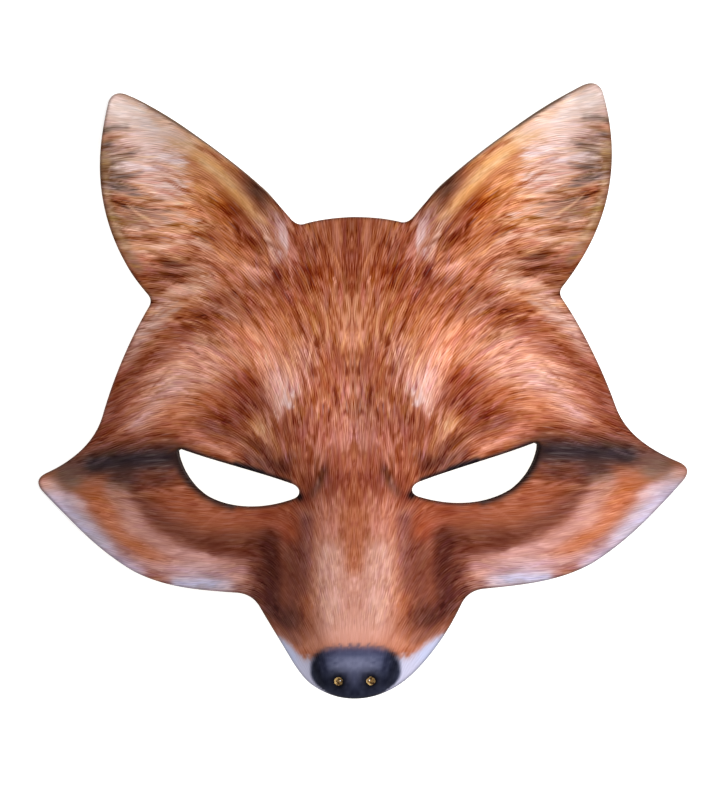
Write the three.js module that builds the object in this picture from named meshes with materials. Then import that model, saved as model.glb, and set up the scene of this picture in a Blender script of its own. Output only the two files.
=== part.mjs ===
// Fox half mask of pressed foam sheet with a printed cloth face, lying face up.
// Millimetres. +Z points up out of the face, +Y to the ears, +X to the right of the face.
// The sheet is one surface over the plane: its front is a height above each (x, y), and its back
// is that surface set back by the sheet's thickness. It is cut to an outline with two eye holes
// and two nostril holes. The mask rests on its two cheek tips and its two ear tips, at z = 0.
// The face is laid out from the point between the brows, and the origin is under its middle.

import * as THREE from 'three';
import { mergeVertices } from 'three/addons/utils/BufferGeometryUtils.js';

// Driving dimensions.
const sheetThickness = 2.5;
const edgeStep = 3.4;             // spacing of mesh points along the outline
const eyeStep = 2.8;              // and along an eye hole
const crownY = 62.4;              // top edge of the forehead on the centre line
const chinY = -103.2;             // bottom edge of the nose on the centre line
const earTipY = 109.8;            // highest point of the ears

// The face is a shallow dome that falls away to the cheek tips.
const dome = {
    height: 56, topY: 5, upperRadius: 110, lowerRadius: 260,
    sideDrop: 58, sideReach: 115, sidePower: 1.9,
    jawStartY: -42, jawRadius: 37.5, jawInnerX: 15, jawBlend: 20,
};
// An ear leaves the forehead at its root and leans back along its axis, with a hollow in front.
const ear = {
    rootX: 46, rootY: 48, axisX: 0.539, axisY: 0.843, rootHeight: 42, lean: 0.58, roll: 0.1,
    halfWidth: 33, length: 80, taperPower: 0.8, hollow: 5.5,
};
// The muzzle is a ridge that grows towards the nose and drops steeply at its sides and end.
const muzzle = {
    startY: -10, length: 90, height: 50, growth: 1.35, rootHalfWidth: 19, tipExtraWidth: 5.5,
    endY: -90, endLength: 20,
};
const brow = { x: 21, y: -2, width: 13, length: 17, height: 4 };
const eyeSocket = { x: 42, y: -29, length: 30, width: 15, depth: 6, slant: THREE.MathUtils.degToRad(18) };
const cheekbone = { x: 62, y: -50, length: 26, width: 12, height: 3.5 };
const frown = { y: -8, width: 5, length: 18, depth: 1.5 };
const nosePad = { y: -94.8, halfWidth: 15, halfHeight: 9.3, height: 1.3 };
const nostril = { x: 5.5, y: -96.9, radius: 1.5, points: 8 };

// Smooth step from 0 to 1.
function ease(t) {
    const u = THREE.MathUtils.clamp(t, 0, 1);
    return u * u * (3 - 2 * u);
}

// Bell-shaped bump of height 1 with half-axes a and b.
function bump(dx, dy, a, b) {
    return Math.exp(-((dx / a) ** 2 + (dy / b) ** 2));
}

function domeHeight(x, y) {
    const radius = y > dome.topY ? dome.upperRadius : dome.lowerRadius;
    const alongFace = (y - dome.topY) ** 2 / (2 * radius);
    const acrossFace = dome.sideDrop * (x / dome.sideReach) ** dome.sidePower;
    const belowJaw = Math.max(0, dome.jawStartY - y);
    const jaw = belowJaw ** 2 / (2 * dome.jawRadius) * ease((x - dome.jawInnerX) / dome.jawBlend);
    return dome.height - alongFace - acrossFace - jaw;
}

// The ear's own height, and how much of it shows here, from 0 on the forehead to 1 on the ear.
function earSurface(x, y) {
    const along = (x - ear.rootX) * ear.axisX + (y - ear.rootY) * ear.axisY;
    const across = (x - ear.rootX) * ear.axisY - (y - ear.rootY) * ear.axisX;
    const taper = THREE.MathUtils.clamp(1 - along / ear.length, 0.05, 1);
    const halfWidth = ear.halfWidth * taper ** ear.taperPower;
    const bowl = Math.max(0, 1 - (across / halfWidth) ** 2) ** 1.5;
    const fade = ease((along + 2) / 18) * ease((ear.length - 2 - along) / 30);
    const height = ear.rootHeight - ear.lean * along - ear.roll * across - ear.hollow * bowl * fade;
    return { height, share: ease((along + 6) / 22) * ease((y - 25) / 20) };
}

function muzzleHeight(x, y) {
    const along = Math.max(0, muzzle.startY - y) / muzzle.length;
    const halfWidth = muzzle.rootHalfWidth + muzzle.tipExtraWidth * ease((-y - 20) / 70);
    const pastEnd = Math.max(0, muzzle.endY - y) / muzzle.endLength;
    const away = (x / halfWidth) ** 2 + pastEnd ** 2;
    return muzzle.height * along ** muzzle.growth / (1 + away ** 2);
}

// Front of the plain pressed sheet at (x, y), for x >= 0. The left half is its mirror image.
function sheetHeight(x, y) {
    const { height, share } = earSurface(x, y);
    let z = THREE.MathUtils.lerp(domeHeight(x, y), height, share) + muzzleHeight(x, y);
    z += brow.height * bump(x - brow.x, y - brow.y, brow.width, brow.length);
    z += cheekbone.height * bump(x - cheekbone.x, y - cheekbone.y, cheekbone.length, cheekbone.width);
    z -= frown.depth * bump(x, y - frown.y, frown.width, frown.length);
    const dx = x - eyeSocket.x;
    const dy = y - eyeSocket.y;
    const alongEye = dx * Math.cos(eyeSocket.slant) + dy * Math.sin(eyeSocket.slant);
    const acrossEye = dy * Math.cos(eyeSocket.slant) - dx * Math.sin(eyeSocket.slant);
    const socket = Math.exp(-((alongEye / eyeSocket.length) ** 4 + (acrossEye / eyeSocket.width) ** 2));
    return z - eyeSocket.depth * socket;
}

// The front with the nose's pad on it. It levels out one thickness above the table at the tips.
function frontHeight(x, y) {
    const inPad = (x / nosePad.halfWidth) ** 2 + ((y - nosePad.y) / nosePad.halfHeight) ** 2;
    const above = sheetHeight(x, y) + nosePad.height * ease((1.15 - inPad) / 0.5) - sheetThickness;
    return sheetThickness + 0.5 * (above + Math.hypot(above, 1.2));
}

// The point of the back behind (x, y): one thickness along the sheet's normal, never under the table.
function backPoint(x, y) {
    const step = 0.5;
    const slopeX = x < step ? 0 : (sheetHeight(x + step, y) - sheetHeight(x - step, y)) / (2 * step);
    const slopeY = (sheetHeight(x, y + step) - sheetHeight(x, y - step)) / (2 * step);
    const normal = new THREE.Vector3(-slopeX, -slopeY, 1).normalize();
    const front = new THREE.Vector3(x, y, sheetHeight(x, y));
    const back = front.addScaledVector(normal, -sheetThickness);
    back.z = Math.max(0, back.z);
    return back;
}

// Right half of the outline, clockwise from the crown to the chin.
const outline = new THREE.Path()
    .moveTo(0, crownY)
    .quadraticCurveTo(9, 62.3, 16.3, 60.5)                      // crown edge
    .quadraticCurveTo(19, 59.4, 21.5, 62.2)                     // corner at the ear
    .bezierCurveTo(33.4, 77, 51.8, 90.9, 80, 108.5)             // inner edge of the ear
    .bezierCurveTo(84.2, 111.1, 87.3, 110.2, 88.5, 107)         // ear tip
    .bezierCurveTo(93.5, 89, 94.3, 63, 73, 36.9)                // outer edge of the ear
    .quadraticCurveTo(71.3, 34.8, 73, 32.4)                     // corner at the temple
    .bezierCurveTo(79, 23.5, 86.5, 8, 91, -5.5)                 // temple
    .bezierCurveTo(94, -14, 101, -20.2, 113, -25.6)             // top edge of the cheek
    .bezierCurveTo(117, -27.3, 117.3, -29.8, 114, -33.2)        // cheek tip
    .bezierCurveTo(105, -43, 95, -53, 82, -60.8)                // lower edge of the cheek
    .bezierCurveTo(70, -67.2, 57, -67.8, 43, -68.7)
    .quadraticCurveTo(37.6, -69.3, 35.3, -74.2)                 // corner at the muzzle
    .bezierCurveTo(30.3, -84.3, 19, chinY, 0, chinY);           // side of the muzzle and nose

// Right eye hole.
const eyeOutline = new THREE.Path()
    .moveTo(62.5, -17.5)
    .bezierCurveTo(50, -22.1, 36, -25.4, 22.3, -30.2)           // upper lid
    .bezierCurveTo(18.8, -31.4, 18.6, -34.6, 22.4, -35.6)       // inner corner
    .bezierCurveTo(42, -42.1, 60.4, -34.8, 63.6, -19.8)         // lower lid
    .quadraticCurveTo(63.9, -17.3, 62.5, -17.5);                // outer corner

const nostrilOutline = new THREE.Path().absarc(nostril.x, nostril.y, nostril.radius, 0, 2 * Math.PI);

// Points along every stretch of a path at about the given spacing, without the path's last point.
function pointsAlong(path, spacing) {
    return path.curves.flatMap((curve) => {
        const count = Math.max(1, Math.round(curve.getLength() / spacing));
        return curve.getSpacedPoints(count).slice(0, -1);
    });
}

// True where (x, y) lies inside the closed loop of points.
function isInside(loop, x, y) {
    let inside = false;
    loop.forEach((a, i) => {
        const b = loop[(i + 1) % loop.length];
        const crosses = (a.y > y) !== (b.y > y);
        if (crosses && x < a.x + (y - a.y) * (b.x - a.x) / (b.y - a.y)) {
            inside = !inside;
        }
    });
    return inside;
}

// Least spacing of mesh points: close on the muzzle, closest at the nostrils, wide elsewhere.
function meshSpacing(x, y) {
    const toNostril = Math.hypot(x - nostril.x, y - nostril.y);
    const pastMuzzle = Math.max(0, x - 34, y + 20);
    return Math.min(1.3 + 0.26 * toNostril, 2.5 + 0.07 * pastMuzzle, 4.5);
}

// Points inside the half mask, taken from a fine triangular lattice where no other point is near.
function fillPoints(loop, holes, edgePoints) {
    const pitch = 0.8;
    const rowHeight = pitch * Math.sqrt(3) / 2;
    const halfWidth = Math.max(...loop.map((p) => p.x));
    const kept = [...edgePoints];
    for (let row = 0; chinY + row * rowHeight < earTipY; row += 1) {
        const y = chinY + row * rowHeight;
        for (let x = (row % 2) * pitch / 2; x < halfWidth; x += pitch) {
            const spacing = meshSpacing(x, y);
            const crowded = kept.some((p) => Math.hypot(p.x - x, p.y - y) < spacing);
            if (!crowded && isInside(loop, x, y) && !holes.some((hole) => isInside(hole, x, y))) {
                kept.push(new THREE.Vector2(x, y));
            }
        }
    }
    return kept;
}

// A triangle of the flat mesh, with the circle through its corners.
function makeTriangle(points, a, b, c) {
    const [p, q, r] = [points[a], points[b], points[c]];
    const det = 2 * ((q.x - p.x) * (r.y - p.y) - (q.y - p.y) * (r.x - p.x));
    const q2 = (q.x - p.x) ** 2 + (q.y - p.y) ** 2;
    const r2 = (r.x - p.x) ** 2 + (r.y - p.y) ** 2;
    const dx = ((r.y - p.y) * q2 - (q.y - p.y) * r2) / det;
    const dy = ((q.x - p.x) * r2 - (r.x - p.x) * q2) / det;
    return { corners: [a, b, c], x: p.x + dx, y: p.y + dy, radius2: dx * dx + dy * dy };
}

// Delaunay triangles of flat points: each point in turn replaces the triangles whose circles hold
// it by a fan from itself to the border of the gap. Work starts in one far larger triangle.
function triangulate(flatPoints) {
    const count = flatPoints.length;
    const far = 1e5;
    const farCorners = [[-far, -far], [far, -far], [0, far]].map(([x, y]) => new THREE.Vector2(x, y));
    const points = [...flatPoints, ...farCorners];
    let triangles = [makeTriangle(points, count, count + 1, count + 2)];
    for (let i = 0; i < count; i += 1) {
        const point = points[i];
        const isHit = (t) => (point.x - t.x) ** 2 + (point.y - t.y) ** 2 < t.radius2 * (1 - 1e-10);
        const border = new Map();
        const kept = [];
        for (const triangle of triangles) {
            if (!isHit(triangle)) {
                kept.push(triangle);
                continue;
            }
            triangle.corners.forEach((from, k) => {
                const to = triangle.corners[(k + 1) % 3];
                if (!border.delete(`${to},${from}`)) {
                    border.set(`${from},${to}`, [from, to]);
                }
            });
        }
        for (const [from, to] of border.values()) {
            kept.push(makeTriangle(points, from, to, i));
        }
        triangles = kept;
    }
    return triangles.map((t) => t.corners).filter((corners) => Math.max(...corners) < count);
}

// The closed mask: front and back skins over the same flat triangles, walled along every free edge.
function makeMask() {
    const outerPoints = pointsAlong(outline, edgeStep);
    const midlineCount = Math.round((crownY - chinY) / edgeStep);
    const midline = new THREE.LineCurve(new THREE.Vector2(0, chinY), new THREE.Vector2(0, crownY));
    const loop = [...outerPoints, ...midline.getPoints(midlineCount).slice(0, -1)];
    const holes = [
        pointsAlong(eyeOutline, eyeStep),
        nostrilOutline.getPoints(nostril.points).slice(0, -1),
    ];
    const flat = fillPoints(loop, holes, [...loop, ...holes.flat()]);
    const triangles = triangulate(flat).filter((corners) => {
        const x = corners.reduce((sum, i) => sum + flat[i].x, 0) / 3;
        const y = corners.reduce((sum, i) => sum + flat[i].y, 0) / 3;
        return isInside(loop, x, y) && !holes.some((hole) => isInside(hole, x, y));
    });

    const positions = [];
    const addTriangle = (a, b, c) => {
        positions.push(a.x, a.y, a.z, b.x, b.y, b.z, c.x, c.y, c.z);
        positions.push(-a.x, a.y, a.z, -c.x, c.y, c.z, -b.x, b.y, b.z);
    };
    const front = flat.map((p) => new THREE.Vector3(p.x, p.y, frontHeight(p.x, p.y)));
    const back = flat.map((p) => backPoint(p.x, p.y));
    const freeEdges = new Map();
    for (const corners of triangles) {
        const [a, b, c] = corners;
        addTriangle(front[a], front[b], front[c]);
        addTriangle(back[a], back[c], back[b]);
        corners.forEach((from, k) => {
            const to = corners[(k + 1) % 3];
            if (!freeEdges.delete(`${to},${from}`)) {
                freeEdges.set(`${from},${to}`, [from, to]);
            }
        });
    }
    for (const [from, to] of freeEdges.values()) {
        const onMidline = flat[from].x === 0 && flat[to].x === 0;
        if (!onMidline) {
            addTriangle(front[from], back[from], back[to]);
            addTriangle(front[from], back[to], front[to]);
        }
    }
    const geometry = new THREE.BufferGeometry();
    geometry.setAttribute('position', new THREE.Float32BufferAttribute(positions, 3));
    return mergeVertices(geometry, 1e-4);
}

const printedCloth = new THREE.MeshStandardMaterial({ color: 0xa8664a, roughness: 0.85, metalness: 0 });

const mask = new THREE.Mesh(makeMask(), printedCloth);
mask.name = 'mask_shell';
mask.position.y = -(chinY + earTipY) / 2;

const group = new THREE.Group();
group.add(mask);

export default group;
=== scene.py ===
"""Dresses the fox half mask: a pressed foam sheet whose cloth face is printed with fox fur.

The mask is one closed piece. Its front is a fine grid cut to the outline, and the printed fur is painted
hair by hair into a colour attribute of that grid. Sizes are millimetres of the face, with the origin
between the brows, +x to the right, +y to the ears and +z out of the face, unless a name says metres.
Colours of the print are values from 0 to 255.
"""
import logging
import math
from dataclasses import dataclass
from enum import Enum
from typing import ClassVar, Sequence

import bpy
import numpy as np
from mathutils import Matrix, Vector


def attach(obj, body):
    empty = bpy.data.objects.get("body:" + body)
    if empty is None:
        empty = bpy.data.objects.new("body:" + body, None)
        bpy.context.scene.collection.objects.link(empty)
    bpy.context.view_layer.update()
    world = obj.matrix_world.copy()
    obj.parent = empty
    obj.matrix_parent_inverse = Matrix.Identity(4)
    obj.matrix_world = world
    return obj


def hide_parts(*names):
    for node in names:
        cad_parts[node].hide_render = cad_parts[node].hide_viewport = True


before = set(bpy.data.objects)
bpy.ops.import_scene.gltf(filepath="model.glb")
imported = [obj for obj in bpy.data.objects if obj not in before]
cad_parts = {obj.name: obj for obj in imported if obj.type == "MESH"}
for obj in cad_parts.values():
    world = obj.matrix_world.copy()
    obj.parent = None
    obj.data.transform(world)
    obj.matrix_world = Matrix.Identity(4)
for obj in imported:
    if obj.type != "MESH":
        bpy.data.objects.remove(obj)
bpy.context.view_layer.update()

MM = 0.001
CHIN_Y = -103.2
EAR_TIP_Y = 109.8
FACE_SHIFT_Y = -(CHIN_Y + EAR_TIP_Y) / 2
# What the grids cover: each half of the face and a little more.
HALF_WIDTH = 118.0
LOW_Y = -106.0
HIGH_Y = 112.0
# Distance between the points of a cut line.
LINE_SPACING = 0.08

Colour = tuple[float, float, float]
Point = tuple[float, float]
Range = tuple[float, float]
log = logging.getLogger("fox_mask")


def ease(t: np.ndarray) -> np.ndarray:
    """Smooth step: 3t^2 - 2t^3 between 0 and 1."""
    u = np.clip(t, 0.0, 1.0)
    return u * u * (3.0 - 2.0 * u)


def cells_round(reach: int) -> np.ndarray:
    """Steps across and up from a cell to every cell up to a reach away, itself too."""
    steps = np.arange(-reach, reach + 1)
    return np.stack(np.meshgrid(steps, steps), axis=-1).reshape(-1, 2)


@dataclass(frozen=True)
class Swell:
    """A soft rise of the sheet, or a dip where its height is below 0: centre, half sizes and height."""

    x: float
    y: float
    half_width: float
    half_height: float
    height: float

    def at(self, x: np.ndarray, y: np.ndarray) -> np.ndarray:
        """Formula: height times exp(-q^2), with q the distance from the centre in half sizes."""
        across, up = (x - self.x) / self.half_width, (y - self.y) / self.half_height
        return self.height * np.exp(-(across**2 + up**2))


@dataclass(frozen=True)
class MaskForm:
    """The pressed shape of the sheet, as one height over every point of the face."""

    thickness: float = 2.5
    dome_height: float = 56.0
    dome_top_y: float = 5.0
    upper_radius: float = 110.0
    lower_radius: float = 260.0
    side_drop: float = 58.0
    side_reach: float = 115.0
    side_power: float = 1.9
    jaw_start_y: float = -42.0
    jaw_radius: float = 37.5
    jaw_inner_x: float = 15.0
    jaw_blend: float = 20.0
    ear_root: Point = (46.0, 48.0)
    ear_axis: Point = (0.539, 0.843)
    ear_root_height: float = 42.0
    ear_lean: float = 0.58
    ear_roll: float = 0.1
    ear_half_width: float = 33.0
    ear_length: float = 80.0
    ear_taper_power: float = 0.8
    ear_least_taper: float = 0.05
    ear_hollow: float = 5.5
    ear_hollow_power: float = 1.5
    ear_hollow_start: float = -2.0
    ear_hollow_growth: float = 18.0
    ear_hollow_end: float = 78.0
    ear_hollow_fade: float = 30.0
    ear_blend_start: float = -6.0
    ear_blend_length: float = 22.0
    ear_blend_low_y: float = 25.0
    ear_blend_height: float = 20.0
    muzzle_start_y: float = -10.0
    muzzle_length: float = 90.0
    muzzle_height: float = 50.0
    muzzle_growth: float = 1.35
    muzzle_root_half_width: float = 19.0
    muzzle_tip_extra_width: float = 5.5
    muzzle_widening_y: float = -20.0
    muzzle_widening_length: float = 70.0
    muzzle_end_y: float = -90.0
    muzzle_end_length: float = 20.0
    nose_pad_y: float = -94.8
    nose_pad_half_width: float = 15.0
    nose_pad_half_height: float = 9.3
    nose_pad_rise: float = 1.3
    nose_pad_border: float = 1.15
    nose_pad_softness: float = 0.5
    brow: Swell = Swell(21.0, -2.0, 13.0, 17.0, 4.0)
    cheekbone: Swell = Swell(62.0, -50.0, 26.0, 12.0, 3.5)
    frown: Swell = Swell(0.0, -8.0, 5.0, 18.0, -1.5)
    socket_middle: Point = (42.0, -29.0)
    socket_half: Point = (30.0, 15.0)
    socket_slant: float = 18.0
    socket_depth: float = 6.0
    table_softness: float = 1.2
    slope_step: float = 0.5

    def dome(self, x: np.ndarray, y: np.ndarray) -> np.ndarray:
        """Height of the brow and cheeks.

        Formula: the dome's height less a parabola along the face, less a power of the distance to
        the side, less a parabola below the jaw line that fades in away from the muzzle.

        Args:
            x: distance from the middle, never negative.
            y: height up the face.

        Returns:
            The height out of the face.
        """
        radius = np.where(y > self.dome_top_y, self.upper_radius, self.lower_radius)
        along = (y - self.dome_top_y) ** 2 / (2.0 * radius)
        across = self.side_drop * (x / self.side_reach) ** self.side_power
        below = np.clip(self.jaw_start_y - y, 0.0, None)
        jaw = below**2 / (2.0 * self.jaw_radius) * ease((x - self.jaw_inner_x) / self.jaw_blend)
        return self.dome_height - along - across - jaw

    def ear(self, x: np.ndarray, y: np.ndarray) -> tuple[np.ndarray, np.ndarray]:
        """Height of the ear and how far it has taken over from the forehead.

        Formula: a plane that leans back along the ear's axis, less a bowl across it that fades out
        towards the root and the tip.

        Args:
            x: distance from the middle, never negative.
            y: height up the face.

        Returns:
            The ear's height, and its share from 0 on the forehead to 1 on the ear.
        """
        (root_x, root_y), (axis_x, axis_y) = self.ear_root, self.ear_axis
        along = (x - root_x) * axis_x + (y - root_y) * axis_y
        across = (x - root_x) * axis_y - (y - root_y) * axis_x
        taper = np.clip(1.0 - along / self.ear_length, self.ear_least_taper, 1.0) ** self.ear_taper_power
        half = self.ear_half_width * taper
        bowl = np.clip(1.0 - (across / half) ** 2, 0.0, None) ** self.ear_hollow_power
        growth = ease((along - self.ear_hollow_start) / self.ear_hollow_growth)
        fade = growth * ease((self.ear_hollow_end - along) / self.ear_hollow_fade)
        plane = self.ear_root_height - self.ear_lean * along - self.ear_roll * across
        share = ease((along - self.ear_blend_start) / self.ear_blend_length)
        share = share * ease((y - self.ear_blend_low_y) / self.ear_blend_height)
        return plane - self.ear_hollow * bowl * fade, share

    def muzzle(self, x: np.ndarray, y: np.ndarray) -> np.ndarray:
        """Height that the muzzle adds.

        Formula: a ridge that grows as a power of the way down the face, over 1 + q^4, where q is the
        distance from the ridge in half widths.

        Args:
            x: distance from the middle.
            y: height up the face.

        Returns:
            The height above the cheeks.
        """
        along = np.clip(self.muzzle_start_y - y, 0.0, None) / self.muzzle_length
        wider = ease((self.muzzle_widening_y - y) / self.muzzle_widening_length)
        half = self.muzzle_root_half_width + self.muzzle_tip_extra_width * wider
        past = np.clip(self.muzzle_end_y - y, 0.0, None) / self.muzzle_end_length
        away = (x / half) ** 2 + past**2
        return self.muzzle_height * along**self.muzzle_growth / (1.0 + away**2)

    def sheet(self, x: np.ndarray, y: np.ndarray) -> np.ndarray:
        """Height of the plain sheet.

        Formula: dome and ear blended by the ear's share, plus the muzzle and the swells, less the
        socket round the eye, an oval dip exp(-a^4 - b^2) with a along it and b across in half sizes.

        Args:
            x: across the face.
            y: up the face.

        Returns:
            The height out of the face.
        """
        x = np.abs(x)
        ear_height, share = self.ear(x, y)
        z = self.dome(x, y) * (1.0 - share) + ear_height * share + self.muzzle(x, y)
        for swell in (self.brow, self.cheekbone, self.frown):
            z += swell.at(x, y)
        slant = math.radians(self.socket_slant)
        right, up = x - self.socket_middle[0], y - self.socket_middle[1]
        along = (right * math.cos(slant) + up * math.sin(slant)) / self.socket_half[0]
        across = (up * math.cos(slant) - right * math.sin(slant)) / self.socket_half[1]
        return z - self.socket_depth * np.exp(-(along**4 + across**2))

    def front(self, x: np.ndarray, y: np.ndarray) -> np.ndarray:
        """Height of the front: the sheet with the nose's pad, levelled out one thickness above the table.

        Formula: h is the height above one thickness, and 0.5 (h + sqrt(h^2 + s^2)), with s the table's
        softness, keeps it above 0.

        Args:
            x: across the face.
            y: up the face.

        Returns:
            The height out of the face.
        """
        across, up = x / self.nose_pad_half_width, (y - self.nose_pad_y) / self.nose_pad_half_height
        inside = across**2 + up**2
        pad = self.nose_pad_rise * ease((self.nose_pad_border - inside) / self.nose_pad_softness)
        above = self.sheet(x, y) + pad - self.thickness
        return self.thickness + 0.5 * (above + np.hypot(above, self.table_softness))

    def back(self, x: np.ndarray, y: np.ndarray) -> np.ndarray:
        """Points of the back: one thickness behind the sheet along its normal, never under the table.

        Args:
            x: across the face.
            y: up the face.

        Returns:
            Points as rows of x, y and z.
        """
        step = self.slope_step
        slope_x = (self.sheet(x + step, y) - self.sheet(x - step, y)) / (2.0 * step)
        slope_y = (self.sheet(x, y + step) - self.sheet(x, y - step)) / (2.0 * step)
        slope_x = np.where(np.abs(x) < step, 0.0, slope_x)
        normal = np.stack([-slope_x, -slope_y, np.ones_like(x)], axis=-1)
        normal /= np.linalg.norm(normal, axis=-1, keepdims=True)
        points = np.stack([x, y, self.sheet(x, y)], axis=-1) - self.thickness * normal
        points[:, 2] = np.clip(points[:, 2], 0.0, None)
        return points


def bezier(points: Sequence[Point], count: int = 240) -> np.ndarray:
    """Points along a curve of two or three control points after its start, without its last point.

    Formula: the sum of the Bernstein weights of the control points.

    Args:
        points: start, control points and end.
        count: how many points to make.

    Returns:
        Points as rows of x and y.
    """
    t = np.arange(count)[:, None] / count
    p = np.array(points, float)
    degree = len(p) - 1
    return sum(math.comb(degree, k) * (1 - t) ** (degree - k) * t**k * p[k] for k in range(degree + 1))


@dataclass(frozen=True)
class CutLine:
    """A closed line that the sheet is cut along."""

    points: np.ndarray

    @classmethod
    def from_stretches(cls, start: Point, stretches: Sequence[Sequence[Point]]) -> "CutLine":
        """Joins curved stretches and spaces their points evenly.

        Args:
            start: first point.
            stretches: control points and end of each stretch.

        Returns:
            The closed line.
        """
        rows, at = [], start
        for stretch in stretches:
            rows.append(bezier([at, *stretch]))
            at = stretch[-1]
        return cls.spaced(np.concatenate([*rows, [at]]))

    @classmethod
    def spaced(cls, points: np.ndarray) -> "CutLine":
        """Evenly spaced points along an open row of points, whose last point is left out.

        Args:
            points: the row.

        Returns:
            The line.
        """
        steps = np.concatenate([[0.0], np.cumsum(np.hypot(*np.diff(points, axis=0).T))])
        keep = np.concatenate([[True], np.diff(steps) > 1e-9])
        steps, points = steps[keep], points[keep]
        count = round(steps[-1] / LINE_SPACING)
        at = np.linspace(0.0, steps[-1], count, endpoint=False)
        return cls(np.stack([np.interp(at, steps, points[:, k]) for k in (0, 1)], axis=1))

    def mirrored(self) -> "CutLine":
        """The same line on the left half, run the same way round."""
        return CutLine((self.points * (-1.0, 1.0))[::-1])

    def turned(self, clockwise: bool) -> "CutLine":
        """The same line, run the asked way round, told by the sign of its enclosed area.

        Args:
            clockwise: whether it runs clockwise.

        Returns:
            The line.
        """
        x, y = self.points.T
        area = 0.5 * float(np.sum(x * np.roll(y, -1) - y * np.roll(x, -1)))
        return self if (area < 0) == clockwise else CutLine(self.points[::-1])


@dataclass(frozen=True)
class MaskPattern:
    """The lines that the sheet is cut along: outline, eye holes and nostril holes."""

    # The outline runs from the crown round the ear, the cheek's tip and the muzzle to the chin.
    outline_start: Point = (0.0, 62.4)
    outline_stretches: tuple[tuple[Point, ...], ...] = (
        ((9, 62.3), (16.3, 60.5)),
        ((19, 59.4), (21.5, 62.2)),
        ((33.4, 77), (51.8, 90.9), (80, 108.5)),
        ((84.2, 111.1), (87.3, 110.2), (88.5, 107)),
        ((93.5, 89), (94.3, 63), (73, 36.9)),
        ((71.3, 34.8), (73, 32.4)),
        ((79, 23.5), (86.5, 8), (91, -5.5)),
        ((94, -14), (101, -20.2), (113, -25.6)),
        ((117, -27.3), (117.3, -29.8), (114, -33.2)),
        ((105, -43), (95, -53), (82, -60.8)),
        ((70, -67.2), (57, -67.8), (43, -68.7)),
        ((37.6, -69.3), (35.3, -74.2)),
        ((30.3, -84.3), (19, CHIN_Y), (0, CHIN_Y)),
    )
    # The eye hole runs from its outer end along the upper lid, the inner corner and the lower lid.
    eye_start: Point = (62.5, -17.5)
    eye_stretches: tuple[tuple[Point, ...], ...] = (
        ((50, -22.1), (36, -25.4), (22.3, -30.2)),
        ((18.8, -31.4), (18.6, -34.6), (22.4, -35.6)),
        ((42, -42.1), (60.4, -34.8), (63.6, -19.8)),
        ((63.9, -17.3), (62.5, -17.5)),
    )
    nostril_centre: Point = (5.5, -96.9)
    nostril_radius: float = 1.5
    nostril_points: int = 140

    def cut_lines(self) -> list[CutLine]:
        """The closed lines of the whole mask.

        Returns:
            The outline, run clockwise, then the holes, run the other way, so that the sheet is always
            on the right: both eye holes, then both nostril holes.
        """
        half = CutLine.from_stretches(self.outline_start, self.outline_stretches).points
        outline = CutLine.spaced(np.concatenate([half, (half * (-1.0, 1.0))[::-1], half[:1]]))
        eye = CutLine.from_stretches(self.eye_start, self.eye_stretches)
        turn = np.linspace(0.0, 2.0 * math.pi, self.nostril_points, endpoint=False)
        circle = self.nostril_radius * np.stack([np.cos(turn), np.sin(turn)], axis=1)
        nostril = CutLine(np.array(self.nostril_centre) + circle)
        holes = [eye, eye.mirrored(), nostril, nostril.mirrored()]
        return [outline.turned(True), *(hole.turned(False) for hole in holes)]


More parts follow.
